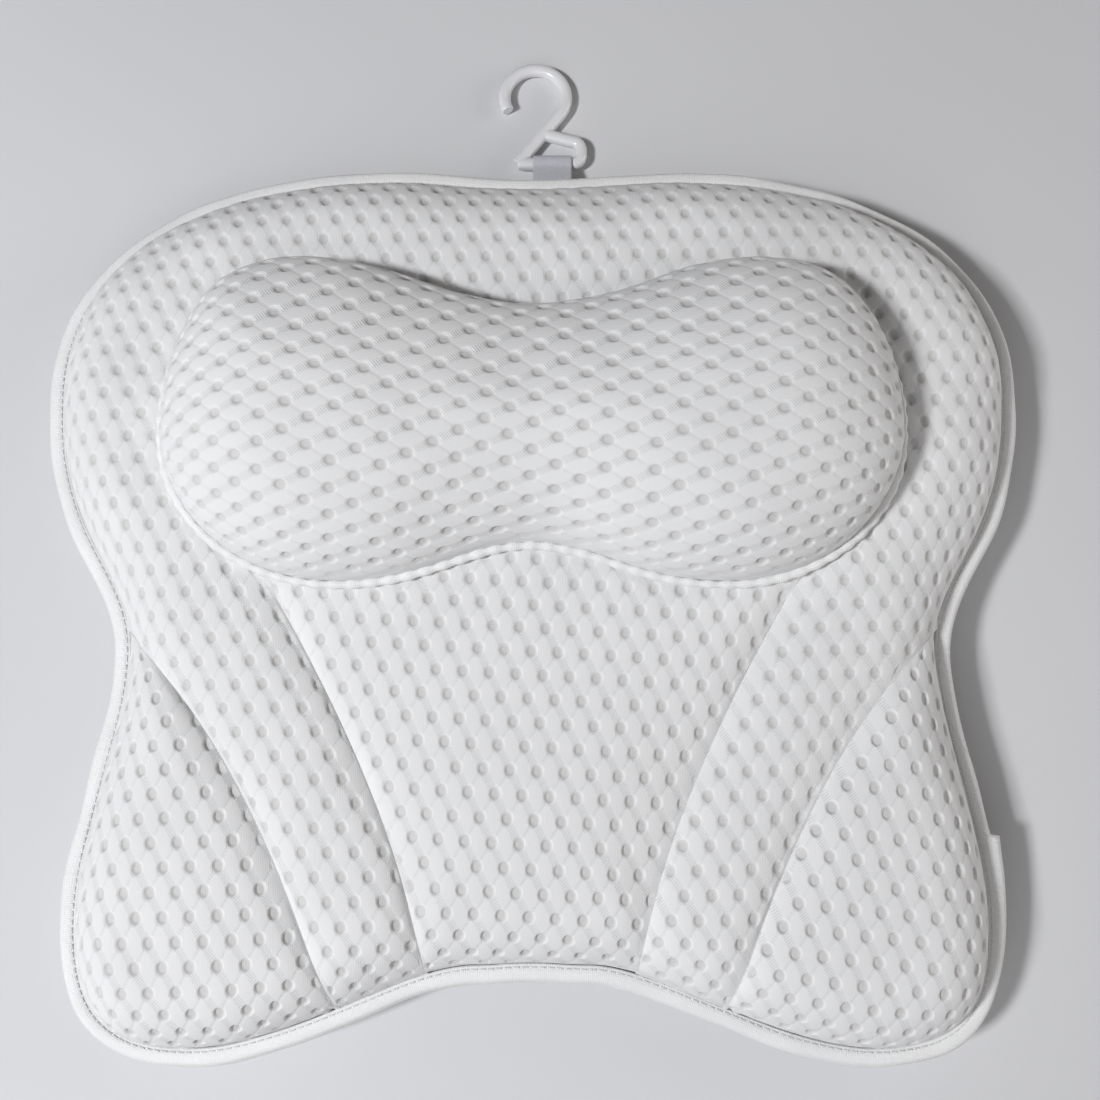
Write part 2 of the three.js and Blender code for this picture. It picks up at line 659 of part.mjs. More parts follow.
cupPlaces.forEach(({ x, y }, i) => {
  addPiece(`eyelet_${i + 1}`, turned(eyeletProfile), whitePlastic).position.set(x, y, 0);
  addPiece(`suction_cup_${i + 1}`, turned(cupProfile), clearVinyl).position.set(x, y, 0);
});

// Ribbon tab: sewn flat behind the top edge, then down to a closed eye round the hook's bar
const barRadius = HOOK_BAR / 2;
const eyeBore = barRadius + CLEARANCE;
const eyeRadius = eyeBore + EYE_WALL;
const eyeZ = eyeRadius + EYE_FLOOR_GAP;
const tabBendY = CREST_Y - TOP_DIP;
const eyeY = tabBendY + TAB_REACH;
const tabTopZ = TAPE_BASE_Z - CLEARANCE;
const tabMiddleZ = tabTopZ - TAB_THICKNESS / 2;

function ribbonTab() {
  const fall = Math.atan2(eyeZ - tabMiddleZ, eyeY - tabBendY);
  const spread = Math.asin(TAB_THICKNESS / 2 / eyeRadius);
  const shape = new THREE.Shape();
  shape.moveTo(tabBendY - TAB_ROOT, tabTopZ - TAB_THICKNESS);
  shape.lineTo(tabBendY - TAB_ROOT, tabTopZ);
  shape.lineTo(tabBendY, tabTopZ);
  shape.absarc(eyeY, eyeZ, eyeRadius, fall + Math.PI - spread, fall - Math.PI + spread, true);
  shape.lineTo(tabBendY, tabTopZ - TAB_THICKNESS);
  shape.closePath();
  shape.holes.push(new THREE.Path().absarc(eyeY, eyeZ, eyeBore, 0, 2 * Math.PI, false));
  const settings = { depth: TAB_WIDTH, bevelEnabled: false, curveSegments: ROUND_SIDES / 2 };
  const acrossX = new THREE.Matrix4().makeBasis(
    new THREE.Vector3(0, 1, 0),
    new THREE.Vector3(0, 0, 1),
    new THREE.Vector3(1, 0, 0),
  );
  const strip = new THREE.ExtrudeGeometry(shape, settings).applyMatrix4(acrossX);
  return strip.translate(TAB_X - TAB_WIDTH / 2, 0, 0);
}
addPiece("hanging_tab", ribbonTab(), ribbon);

// Hook, drawn flat with the middle of its bar at the origin: a stem rises from the bar's left end into the
// round crook, and a bent arm closes the loop that the ribbon holds
function roundBar(points, steps) {
  const section = new THREE.Shape().absarc(0, 0, barRadius, 0, 2 * Math.PI, false);
  const extrudePath = new THREE.CatmullRomCurve3(points, false, "centripetal");
  return solidOf(new THREE.ExtrudeGeometry(section, { steps, extrudePath, curveSegments: HOOK_SIDES / 2 }));
}

const inHook = (x, y) => new THREE.Vector3(x, y, 0);

function ball(at) {
  return solidOf(new THREE.SphereGeometry(barRadius, HOOK_SIDES, HOOK_SIDES / 2).translate(at.x, at.y, 0));
}

function arcPoints(centre, radius, from, to, steps) {
  const points = [];
  for (let k = 0; k <= steps; k++) {
    const angle = from + ((to - from) * k) / steps;
    points.push(inHook(centre.x + radius * Math.cos(angle), centre.y + radius * Math.sin(angle)));
  }
  return points;
}

function hookSolid() {
  const quarter = Math.PI / 2;
  const clearHalf = TAB_WIDTH / 2 + CLEARANCE;
  const crook = inHook(HOOK_ARC_X, HOOK_ARC_Y);
  // The stem touches the crook's circle and passes beside the corner of the ribbon's eye
  const ribbonCorner = inHook(-clearHalf, eyeRadius);
  const toCrook = crook.clone().sub(ribbonCorner);
  const turn = Math.asin((HOOK_ARC_RADIUS + barRadius) / toCrook.length());
  const lean = Math.atan2(toCrook.y, toCrook.x) - turn;
  const corner = inHook(ribbonCorner.x - barRadius / Math.sin(lean) - eyeRadius / Math.tan(lean), 0);
  const stemLength = Math.sqrt(crook.distanceTo(corner) ** 2 - HOOK_ARC_RADIUS ** 2);
  const along = (length) => inHook(corner.x + length * Math.cos(lean), length * Math.sin(lean));
  const tipAngle = THREE.MathUtils.degToRad(HOOK_TIP_ANGLE);
  const stem = [
    ...HOOK_STEM_SHARES.map((share) => along(stemLength * share)),
    ...arcPoints(crook, HOOK_ARC_RADIUS, lean - quarter, tipAngle, HOOK_CROOK_STEPS),
  ];
  const bendX = clearHalf + Math.max(HOOK_BEND, barRadius) - HOOK_BEND;
  const loop = [
    corner,
    inHook(0, 0),
    ...arcPoints(inHook(bendX, HOOK_BEND), HOOK_BEND, -quarter, 0, HOOK_BEND_STEPS),
    ...arcPoints(inHook(bendX, HOOK_LEG_Y - HOOK_BEND), HOOK_BEND, 0, quarter, HOOK_BEND_STEPS),
    along(HOOK_ARM_Y / Math.sin(lean)),
  ];
  const bars = roundBar(stem, HOOK_STEM_STEPS).add(roundBar(loop, HOOK_LOOP_STEPS));
  return bars.add(ball(corner)).add(ball(stem[stem.length - 1]));
}

// The hook lies with its crook on the surface under the pad
const hookReach = HOOK_ARC_Y + HOOK_ARC_RADIUS;
const hookPivot = new THREE.Group();
hookPivot.position.set(TAB_X, eyeY, eyeZ);
hookPivot.rotation.x = -Math.asin((eyeZ - barRadius - CLEARANCE) / hookReach);
group.add(hookPivot);
addPiece("hook", geometryOf(hookSolid()), whitePlastic, hookPivot);

// The origin is at the middle of the base
const box = new THREE.Box3().setFromObject(group);
const middle = box.getCenter(new THREE.Vector3());
group.position.set(-middle.x, -middle.y, -box.min.z);

export default group;
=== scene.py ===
"""Looks of a white air-mesh bath pillow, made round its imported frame. Metres, +Z out of its face."""

import math

import bpy
import numpy as np
from bpy.props import FloatProperty, FloatVectorProperty, IntProperty, PointerProperty
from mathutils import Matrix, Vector
from mathutils.geometry import delaunay_2d_cdt


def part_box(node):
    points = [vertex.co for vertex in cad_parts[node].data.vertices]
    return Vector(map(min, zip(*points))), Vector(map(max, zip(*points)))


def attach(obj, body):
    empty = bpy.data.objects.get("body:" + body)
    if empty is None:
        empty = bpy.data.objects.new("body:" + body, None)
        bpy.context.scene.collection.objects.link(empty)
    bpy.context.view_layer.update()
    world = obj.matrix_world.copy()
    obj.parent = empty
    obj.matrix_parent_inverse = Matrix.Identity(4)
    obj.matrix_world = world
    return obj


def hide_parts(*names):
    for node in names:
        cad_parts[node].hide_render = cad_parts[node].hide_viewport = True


bl_info = {
    "name": "Air-mesh bath pillow",
    "version": (1, 0, 0),
    "blender": (4, 5, 0),
    "location": "3D View > Sidebar > Bath pillow",
    "description": "Sews and moulds the pieces of a bath pillow round its frame",
    "category": "Add Mesh",
}

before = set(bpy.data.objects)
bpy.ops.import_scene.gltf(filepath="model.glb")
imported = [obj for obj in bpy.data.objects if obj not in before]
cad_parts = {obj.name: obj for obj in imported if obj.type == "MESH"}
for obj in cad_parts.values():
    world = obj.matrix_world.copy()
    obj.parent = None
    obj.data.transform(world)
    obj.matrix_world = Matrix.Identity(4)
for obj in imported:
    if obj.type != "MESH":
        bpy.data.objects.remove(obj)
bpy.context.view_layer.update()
UV_NAME = "weave"
OPEN_NAME = "open_mesh"
MM = 0.001


def length(name, description, default):
    """A size in metres that a user can change"""
    return FloatProperty(name=name, description=description, default=default, unit="LENGTH", precision=4)


def place(name, description, default):
    """A place in plan, measured from the middle of the pad"""
    return FloatVectorProperty(
        name=name, description=description, default=default, size=2, unit="LENGTH", precision=4
    )


def share(name, description, default):
    """A number without a unit"""
    return FloatProperty(name=name, description=description, default=default, precision=3)


def angle(name, description, default):
    """An angle, given in degrees"""
    return FloatProperty(name=name, description=description, default=math.radians(default), subtype="ANGLE")


def colour(name, description, default):
    """A colour in linear light"""
    return FloatVectorProperty(
        name=name, description=description, default=default, size=3, subtype="COLOR", min=0, max=1
    )


class PadShape(bpy.types.PropertyGroup):
    """Outline, seams and heights of the pad"""

    shoulder: place("Shoulder", "Widest place of the outline", (0.200, 0.084))
    waist: place("Waist", "Narrowest place of the outline", (0.167, -0.028))
    wing: place("Wing", "Widest place of the wing", (0.182, -0.126))
    wing_tip: place("Wing tip", "Lowest place of the wing", (0.130, -0.182))
    notch: place("Notch", "Where the foot's notch levels out", (0.022, -0.152))
    notch_arch: length("Notch arch", "Rise of the notch towards the middle", 0.0008)
    crest: place("Crest", "Highest place of the top edge", (0.060, 0.1805))
    top_dip: length("Top dip", "Dip of the top edge in the middle", 0.003)
    strap_top: place("Strap top", "Upper end of the inner strap seam", (0.108, 0.010))
    arch: length("Arch", "Height of the yoke's arch under the headrest", 0.058)
    edge_inset: length("Edge inset", "From the outline to the panels' cut edge", 0.0025)
    base: length("Base", "Level that the cushions lie on", 0.0183)
    flange: length("Flange", "Level of the pressed edge's face", 0.0213)
    flange_width: length("Flange width", "Width of the pressed edge", 0.0076)
    crown: length("Crown", "Rise of the cushions over the pressed edge", 0.031)
    rim_run: length("Rim run", "Way over which the edge swells up", 0.028)
    channel_depth: length("Channel depth", "How deep the quilting seams are drawn in", 0.0036)
    channel_run: length("Channel run", "Way over which a seam's channel levels out", 0.015)
    crease: length("Crease", "How much deeper the cloth is pulled in at the stitches", 0.0018)
    crease_run: length("Crease run", "Way over which the stitches pull the cloth in", 0.0022)
    seat_edge: length("Seat edge", "Level strip round the headrest's seam", 0.002)
    seat_run: length("Seat run", "Way over which the seat blends into the pad", 0.014)
    start: share("Start", "Share of the crown before the cloth is inflated", 0.97)
    puff: length("Puff", "Most that a cushion swells when it is inflated", 0.006)
    seam_lap: length("Seam lap", "How far neighbouring panels reach into each other", 0.0003)


class HeadrestShape(bpy.types.PropertyGroup):
    """Outline and height of the headrest"""

    foot_dip: length("Foot dip", "Middle of the lower edge", 0.014)
    foot: place("Foot", "Lowest place of a lobe", (0.074, -0.001))
    side: place("Side", "Widest place", (0.142, 0.058))
    hump: place("Hump", "Highest place of a lobe", (0.088, 0.121))
    top_dip: length("Top dip", "Middle of the upper edge", 0.103)
    floor: length("Floor", "Level of the seam", 0.0526)
    crown: length("Crown", "Rise over the seam", 0.0425)
    run: length("Run", "Way over which the sides round off", 0.056)
    saddle: length("Saddle", "Dip of the crown in the middle", 0.005)
    saddle_reach: length("Saddle reach", "Half width of the dip", 0.060)
    puff: length("Puff", "Most that the cushion swells when it is inflated", 0.005)
    bulge: length("Bulge", "How far the ends hang over the seam", 0.001)
    top_bulge: length("Top bulge", "How far the upper side hangs over", 0.006)
    cord: length("Cord", "Thickness of the cord in the seam", 0.0034)


class AirMesh(bpy.types.PropertyGroup):
    """The knitted air mesh"""

    pitch: length("Pitch", "Holes along a row", 0.0100)
    row: length("Row", "From one row of holes to the next", 0.00885)
    hole_width: length("Hole width", "Width of a hole", 0.0044)
    hole_height: length("Hole height", "Height of a hole", 0.0054)
    hole_wall: share("Hole wall", "How far a hole's wall slopes, as a share of its half width", 0.5)
    hole_depth: length("Hole depth", "How far a hole sinks in", 0.0011)
    swell: length("Cell swell", "How far a cell between holes stands up", 0.00015)
    groove: length("Groove", "Depth of the lines between cells", 0.00004)
    white: colour("White", "The knit's yarn", (0.80, 0.80, 0.80))
    # The shade inside a hole is painted shade: it stands in for the shade deep down in each hole
    shade: colour("Shade", "Inside a hole", (0.62, 0.615, 0.605))
    # The line colour is painted shade: the lines between cells are coloured darker where their grooves sink
    line: colour("Line", "Along the lines between cells", (0.70, 0.70, 0.695))


class EdgeTape(bpy.types.PropertyGroup):
    """The knitted tape round the edge"""

    width: length("Width", "How far the tape reaches over the edge", 0.0075)
    top: length("Top", "Level of the tape's upper face", 0.0262)
    bottom: length("Bottom", "Level of the tape's lower face", 0.0135)
    thickness: length("Thickness", "Thickness of the tape", 0.0012)
    stitch: length("Stitch", "Length of one stitch with its gap", 0.0032)
    wave: length("Wave", "Unevenness of the sewn tape", 0.0004)
    white: colour("White", "The tape's yarn", (0.86, 0.86, 0.855))
    thread: colour("Thread", "The sewing thread", (0.74, 0.74, 0.735))


class RibbonAndHook(bpy.types.PropertyGroup):
    """The ribbon tab and the moulded hook"""

    tab_x: length("Tab place", "Middle of the ribbon", 0.008)
    tab_width: length("Tab width", "Width of the ribbon", 0.017)
    tab_root: length("Tab root", "Sewn length behind the edge", 0.014)
    tab_reach: length("Tab reach", "From the edge to the hook's bar", 0.0165)
    tab_level: length("Tab level", "Level of the sewn end", 0.0123)
    ribbon: length("Ribbon", "Thickness of one layer", 0.0008)
    bar: length("Bar", "Thickness of the hook's bar", 0.0054)
    eye: length("Eye", "Radius of the ribbon's eye, outside", 0.0039)
    floor_gap: length("Floor gap", "Gap under the ribbon's eye", 0.0006)
    crook_radius: length("Crook radius", "Radius of the crook's middle line", 0.0138)
    crook: place("Crook", "Middle of the crook, from the bar's middle", (-0.0075, 0.0325))
    tip_angle: angle("Tip angle", "Where the crook ends", 207)
    arm: length("Arm", "Where the loop's arm meets the stem", 0.0145)
    leg: length("Leg", "Height of the loop's leg", 0.0108)
    bend: length("Bend", "Radius of the loop's corners", 0.004)
    grey: colour("Ribbon grey", "The ribbon's yarn", (0.60, 0.60, 0.66))
    plastic: colour("Plastic", "The hook's plastic", (0.80, 0.80, 0.815))


class CupsAndEyelets(bpy.types.PropertyGroup):
    """The suction cups and the eyelets that hold them"""

    rim: length("Rim", "Radius of a cup's rim", 0.027)
    rim_width: length("Rim width", "Width of the rim's flat face", 0.003)
    lip: length("Lip", "Thickness at the rim", 0.0014)
    hollow: length("Hollow", "Depth of the cup", 0.008)
    shoulder: length("Shoulder", "Radius at the top of the cup", 0.012)
    neck: length("Neck", "Radius of the neck", 0.006)
    head: length("Head", "Radius of the head", 0.009)
    head_height: length("Head height", "Height of the head", 0.004)
    eyelet: length("Eyelet", "Radius of an eyelet's flange", 0.0111)
    eyelet_wall: length("Eyelet wall", "Thickness of an eyelet's barrel", 0.0016)
    plate: length("Plate", "Thickness of an eyelet's flange", 0.001)
    clearance: length("Clearance", "Gap between the moulded pieces", 0.0003)
    back: length("Back", "Level of the back panel's lower face", 0.015)
    back_thickness: length("Back thickness", "Thickness of the back panel", 0.003)
    vinyl: colour("Vinyl", "The cups' clear vinyl", (0.80, 0.84, 0.85))
    white: colour("White", "The eyelets' plastic", (0.78, 0.78, 0.78))


class StageSetup(bpy.types.PropertyGroup):
    """Floor, lamps and camera"""

    floor: colour("Floor", "The plain floor", (0.69, 0.692, 0.703))
    view_angle: angle("View angle", "What the camera sees across", 48)
    tilt: angle("Tilt", "How far the camera leans from straight down", 10)
    eye: FloatVectorProperty(
        name="Eye", description="Where the camera stands", default=(0.0070, -0.1009, 0.5158),
        size=3, unit="LENGTH",
    )
    key_power: share("Key", "Strength of the window-like lamp, in watts", 23)
    front_power: share("Front", "Strength of the broad lamp before the pillow, in watts", 4.0)
    side_power: share("Side", "Strength of the low reflector on the right, in watts", 8.0)
    fill: share("Fill", "Strength of the light all round", 0.05)


class PillowSettings(bpy.types.PropertyGroup):
    """All the sizes and colours of the bath pillow"""

    pad: PointerProperty(type=PadShape)
    headrest: PointerProperty(type=HeadrestShape)
    mesh: PointerProperty(type=AirMesh)
    tape: PointerProperty(type=EdgeTape)
    hook: PointerProperty(type=RibbonAndHook)
    cups: PointerProperty(type=CupsAndEyelets)
    stage: PointerProperty(type=StageSetup)
    faces: IntProperty(
        name="Faces", description="About how many faces a cushion has", default=150000, min=1000
    )


# Curves in plan

X, Y = 0, 1
CURVE_STEPS = 6
EDGE_STEPS = [3, 7, 6, 4, 6, 10, 2]
WING_SEAM_TOP = 15 * CURVE_STEPS
WING_SEAM_FOOT = 31 * CURVE_STEPS
STRAP_SEAM_FOOT = 34 * CURVE_STEPS
WING_PULLS = np.array([(-0.046, -0.030), (0.020, 0.058)])
STRAP_PULLS = np.array([(-0.030, -0.046), (0.002, 0.046)])
ARCH_PULL = np.array([0.018, 0.028])
FOOT_CROWDING = 1.8


def bezier(start, leave, arrive, end, steps):
    """Points of one curve"""
    t = np.linspace(0, 1, steps + 1)[:, None]
    return (1 - t) ** 3 * start + 3 * (1 - t) ** 2 * t * leave + 3 * (1 - t) * t**2 * arrive + t**3 * end


def edge_through(marks, steps):
    """A smooth edge through marks of (x, y, way, approach, reach); way is the axis that it follows there"""
    line = [np.array([marks[0][:2]], float)]
    for (x0, y0, way0, _, reach), (x1, y1, way1, approach, _), count in zip(marks, marks[1:], steps):
        start, end = np.array([x0, y0]), np.array([x1, y1])
        leave, arrive = start.copy(), end.copy()
        leave[way0] += reach * (end - start)[way0]
        arrive[way1] -= approach * (end - start)[way1]
        line.append(bezier(start, leave, arrive, end, count * CURVE_STEPS)[1:])
    return np.concatenate(line)


def mirrored(line):
    """The same line on the other side of the pad"""
    return line * np.array([-1, 1])


def whole(half):
    """A closed clockwise loop from its right half, which runs from the top down"""
    return np.concatenate([half, mirrored(half)[::-1][1:-1]])


def closed(loop):
    """A loop with its first point again at its end"""
    return np.concatenate([loop, loop[:1]])


def outward(loop):
    """Directions out of a clockwise loop"""
    way = np.roll(loop, -1, axis=0) - np.roll(loop, 1, axis=0)
    out = np.stack([-way[:, 1], way[:, 0]], axis=1)
    return out / np.linalg.norm(out, axis=1, keepdims=True)


def along(line):
    """Length from the start of a line to each of its points"""
    return np.concatenate([[0], np.cumsum(np.linalg.norm(np.diff(line, axis=0), axis=1))])


def resampled(line, count, crowding=1):
    """A line again with evenly spaced points, or with points that crowd towards its end"""
    travelled = along(line)
    stops = travelled[-1] * (1 - np.linspace(1, 0, count) ** crowding)
    return np.stack([np.interp(stops, travelled, line[:, k]) for k in range(line.shape[1])], axis=1)


def nearest(points, line):
    """Distance from points to a line in plan, and the nearest places on it"""
    flat = points.reshape(-1, 2)
    least = np.full(len(flat), np.inf)
    where = np.zeros_like(flat)
    for start, way in zip(line[:-1], np.diff(line, axis=0)):
        part = np.clip((flat - start) @ way / max(way @ way, 1e-12), 0, 1)
        foot = start + part[:, None] * way
        gap = np.linalg.norm(flat - foot, axis=1)
        closer = gap < least
        least[closer] = gap[closer]
        where[closer] = foot[closer]
    return least.reshape(points.shape[:-1]), where.reshape(points.shape)


def inside(points, loop):
    """Which points lie inside a loop"""
    x, y = points[..., 0], points[..., 1]
    result = np.zeros(x.shape, bool)
    for (ax, ay), (bx, by) in zip(loop, np.roll(loop, -1, axis=0)):
        if ay != by:
            result ^= ((ay > y) != (by > y)) & (x < ax + (bx - ax) * (y - ay) / (by - ay))
    return result


def pad_half(pad):
    """Right half of the pad's outline"""
    marks = [
        (0, pad.crest[1] - pad.top_dip, X, 0, 0.5),
        (*pad.crest, X, 0.4, 0.6),
        (*pad.shoulder, Y, 0.6, 0.62),
        (*pad.waist, Y, 0.31, 0.3),
        (*pad.wing, Y, 0.35, 0.68),
        (*pad.wing_tip, X, 0.68, 0.37),
        (*pad.notch, X, 0.22, 0.5),
        (0, pad.notch[1] + pad.notch_arch, X, 0.5, 0),
    ]
    return edge_through(marks, EDGE_STEPS)


def headrest_half(head):
    """Right half of the headrest's outline"""
    marks = [
        (0, head.top_dip, X, 0, 0.4),
        (*head.hump, X, 0.45, 0.66),
        (*head.side, Y, 0.66, 0.55),
        (*head.foot, X, 0.55, 0.47),
        (0, head.foot_dip, X, 0.34, 0),
    ]
    return edge_through(marks, [6, 7, 7, 6])


class PlanCurves:
    """The pad's lines in plan, from the middle of the pad"""

    def __init__(self, settings):
        pad = settings.pad
        half = pad_half(pad)
        self.outline = whole(half)
        self.cut = self.outline - pad.edge_inset * outward(self.outline)
        self.edge = self.cut[: len(half)]
        self.headrest = whole(headrest_half(settings.headrest))
        wing_top, wing_foot = self.edge[WING_SEAM_TOP], self.edge[WING_SEAM_FOOT]
        strap_top, strap_foot = np.array(pad.strap_top), self.edge[STRAP_SEAM_FOOT]
        middle = np.array([0, pad.arch])
        steps = 8 * CURVE_STEPS
        wing_pulls = np.stack([wing_top, wing_foot]) + WING_PULLS
        strap_pulls = np.stack([strap_top, strap_foot]) + STRAP_PULLS
        self.wing_seam = bezier(wing_top, *wing_pulls, wing_foot, steps)
        self.strap_seam = bezier(strap_top, *strap_pulls, strap_foot, steps)
        half_way = np.array([strap_top[0] / 2, pad.arch])
        self.arch = bezier(middle, half_way, strap_top + ARCH_PULL, strap_top, steps)
        seams = [self.wing_seam, self.strap_seam]
        self.seams = seams + [mirrored(seam) for seam in seams]
        tape_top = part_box("edge_binding")[1].y
        self.shift = np.array([0, tape_top - pad.crest[1]])


# Forms of the cushions

RIM_FULLNESS = 2.0
CLOTH_PRESSURE = 4
CLOTH_STIFFNESS = 12
CLOTH_BENDING = 0.3
CLOTH_STEPS = 20
CLOTH_WALL = 4 * MM
LEAST_PUFF = 0.2
WELD = 0.02 * MM


def swell(part):
    """A cushion's section: steep at its seam and level once it is one run away from it"""
    rest = 1 - np.clip(part, 0, 1)
    return np.sqrt(np.maximum(1 - rest * rest, 0))


def full_swell(part):
    """A fuller section, level for most of its way and steep near its edge"""
    rest = 1 - np.clip(part, 0, 1)
    return np.maximum(1 - rest**RIM_FULLNESS, 0) ** (1 / RIM_FULLNESS)


def smooth(part):
    """A soft step from 0 to 1"""
    part = np.clip(part, 0, 1)
    return part * part * (3 - 2 * part)


def wrap_growth(depth, run, rise):
    """How much further the cloth reaches over a rounded rim than its plan, at a depth inside the edge"""
    turn = np.linspace(0, np.pi / 2, 200)
    plan = run * (1 - np.cos(turn))
    height = rise * np.sin(turn)
    cloth = np.concatenate([[0], np.cumsum(np.hypot(np.diff(plan), np.diff(height)))])
    return np.interp(depth, plan, (cloth[-1] - cloth) - (run - plan))


class FrontForm:
    """Heights, seam distances and cloth places of points on the pad's front"""

    def __init__(self, points, curves, settings):
        pad = settings.pad
        self.from_edge, edge_place = nearest(points, closed(curves.outline))
        self.from_seam = np.min([nearest(points, seam)[0] for seam in curves.seams], axis=0)
        head_gap, _ = nearest(points, closed(curves.headrest))
        self.from_head = np.where(inside(points, curves.headrest), -head_gap, head_gap)
        valley = 1 - np.sin(np.pi / 2 * np.clip(self.from_seam / pad.channel_run, 0, 1))
        crease = np.exp(-self.from_seam / pad.crease_run)
        channel = (pad.channel_depth * valley + pad.crease * crease) / pad.crown
        rim_depth = self.from_edge - pad.flange_width
        open_rise = pad.crown * full_swell(rim_depth / pad.rim_run) * (1 - channel)
        seat = swell((self.from_head - pad.seat_edge) / pad.seat_run)
        self.rise = pad.crown + (open_rise - pad.crown) * seat
        out = edge_place - points
        out /= np.maximum(np.linalg.norm(out, axis=-1, keepdims=True), 1e-9)
        growth = wrap_growth(np.maximum(rim_depth, 0), pad.rim_run, pad.crown)
        growth = np.where(rim_depth < pad.rim_run, growth, 0)
        self.cloth = points + out * growth[..., None]


def panel_rows(first, second, on_edge, curves, pad, columns):
    """Plan rows across a panel from its first line to its second, crowded towards both.
    Where the first line is on the pad's edge, two columns lie on the pressed flange."""
    trial = np.linspace(0, 0.5, 101)
    way = second - first
    tests = first[:, None] + trial[None, :, None] * way[:, None]
    deep = nearest(tests, closed(curves.outline))[0] > pad.flange_width
    pressed = np.where(deep.any(axis=1), trial[np.argmax(deep, axis=1)], 0.5)
    pressed = np.where(on_edge, np.clip(pressed, 0.02, 0.5), 0.02)[:, None]
    width = np.maximum(np.linalg.norm(way, axis=1, keepdims=True), pad.seam_lap)
    trim = -np.minimum(pad.seam_lap / 2 / width, 0.05)
    spread = (1 - np.cos(np.pi * np.linspace(0, 1, columns)))[None] / 2
    shares = np.concatenate([trim, pressed * 0.5, pressed + (1 - trim - pressed) * spread], axis=1)
    return first[:, None] + shares[..., None] * way[:, None]


def yoke_plan(curves, pad):
    """Rows of the yoke, from the foot of one strap over the top to the foot of the other"""
    rim = resampled(curves.edge[: WING_SEAM_TOP + 1], 58)
    outer = np.concatenate([rim, resampled(curves.wing_seam, 34, FOOT_CROWDING)[1:]])
    inner = np.concatenate([resampled(curves.arch, 58), resampled(curves.strap_seam, 34, FOOT_CROWDING)[1:]])
    on_edge = np.arange(len(outer)) < len(rim)
    both = [np.concatenate([mirrored(line)[::-1], line[1:]]) for line in (outer, inner)]
    return panel_rows(*both, np.concatenate([on_edge[::-1], on_edge[1:]]), curves, pad, 23)


def wing_plan(curves, pad):
    """Rows of the right wing, from the waist round to the foot of the strap"""
    outer = resampled(curves.edge[WING_SEAM_TOP : WING_SEAM_FOOT + 1], 56)
    return panel_rows(outer, resampled(curves.wing_seam, 56), True, curves, pad, 18)


def centre_plan(curves, pad):
    """Rows of the centre panel from side to side, the last of which follow the notch of the edge"""
    strap = resampled(curves.strap_seam, 38, FOOT_CROWDING)
    side = np.concatenate([resampled(curves.arch, 16)[1:], strap[1:]])
    notch = curves.edge[STRAP_SEAM_FOOT:]
    foot = np.concatenate([mirrored(notch), notch[::-1][1:]])
    spread = np.linspace(-1, 1, 41)
    spread = spread * (1.25 - 0.25 * spread**2)
    foot_y = np.interp(spread * notch[0, 0], foot[:, 0], foot[:, 1]) - notch[0, 1]
    bend = ((side[0, 1] - side[:, 1]) / (side[0, 1] - side[-1, 1])) ** 4
    x = (side[:, :1] + pad.seam_lap / 2) * spread[None]
    y = side[:, 1:] + bend[:, None] * foot_y[None]
    return np.stack([x, y], axis=-1)


def headrest_plan(curves):
    """A four-sided patch over the headrest, crowded towards its seam"""
    loop = curves.headrest
    half = len(loop) // 2
    upper, lower = int(9.5 * CURVE_STEPS), int(16.5 * CURVE_STEPS)
    right = loop[upper : lower + 1][::-1]
    foot = loop[lower : 2 * half - lower + 1][::-1]
    top = np.roll(loop, upper, axis=0)[: 2 * upper + 1]
    spread_u = (1 - np.cos(np.pi * np.linspace(0, 1, 57))) / 2
    spread_v = (1 - np.cos(np.pi * np.linspace(0, 1, 33))) / 2
    spread_u = 0.5 * spread_u + 0.5 * np.linspace(0, 1, 57)

    def spaced(line, shares):
        travelled = along(line) / along(line)[-1]
        return np.stack([np.interp(shares, travelled, line[:, k]) for k in range(2)], axis=1)

    foot, top = spaced(foot, spread_u), spaced(top, spread_u)
    right = spaced(right, spread_v)
    left = mirrored(right)
    u, v = spread_u[None, :, None], spread_v[:, None, None]
    ruled = (1 - v) * foot[None] + v * top[None] + (1 - u) * left[:, None] + u * right[:, None]
    corners = (1 - u) * (1 - v) * foot[0] + u * (1 - v) * foot[-1] + (1 - u) * v * top[0] + u * v * top[-1]
    return ruled - corners


def rim_of(rows, columns):
    """Indices round the edge of a grid"""
    top = list(range(columns))
    right = [i * columns + columns - 1 for i in range(1, rows)]
    bottom = [(rows - 1) * columns + j for j in range(columns - 2, -1, -1)]
    left = [i * columns for i in range(rows - 2, 0, -1)]
    return np.array(top + right + bottom + left)


def grid_faces(rows, columns):
    """Faces of a grid of points"""
    corner = (np.arange(rows - 1)[:, None] * columns + np.arange(columns - 1)[None]).ravel()
    return np.stack([corner, corner + 1, corner + columns + 1, corner + columns], axis=1)


def mesh_of(name, points, faces):
    """A mesh of points and faces"""
    mesh = bpy.data.meshes.new(name)
    mesh.from_pydata(np.asarray(points).tolist(), [], faces)
    return mesh


def cushion_body(grid, base):
    """Points and faces of a cushion: a front of grid points, a wall down from its edge, and a flat base"""
    rows, columns = grid.shape[:2]
    front = grid.reshape(-1, 3)
    rim = rim_of(rows, columns)
    low = front[rim].copy()
    low[:, 2] = base
    below = np.arange(len(rim)) + len(front)
    wall = np.stack([rim, below, np.roll(below, -1), np.roll(rim, -1)], axis=1)
    faces = [*grid_faces(rows, columns).tolist(), *wall.tolist(), below[::-1].tolist()]
    if np.sum(np.cross(np.gradient(grid, axis=1), np.gradient(grid, axis=0))[..., 2]) < 0:
        faces = [face[::-1] for face in faces]
    return np.concatenate([front, low]), faces


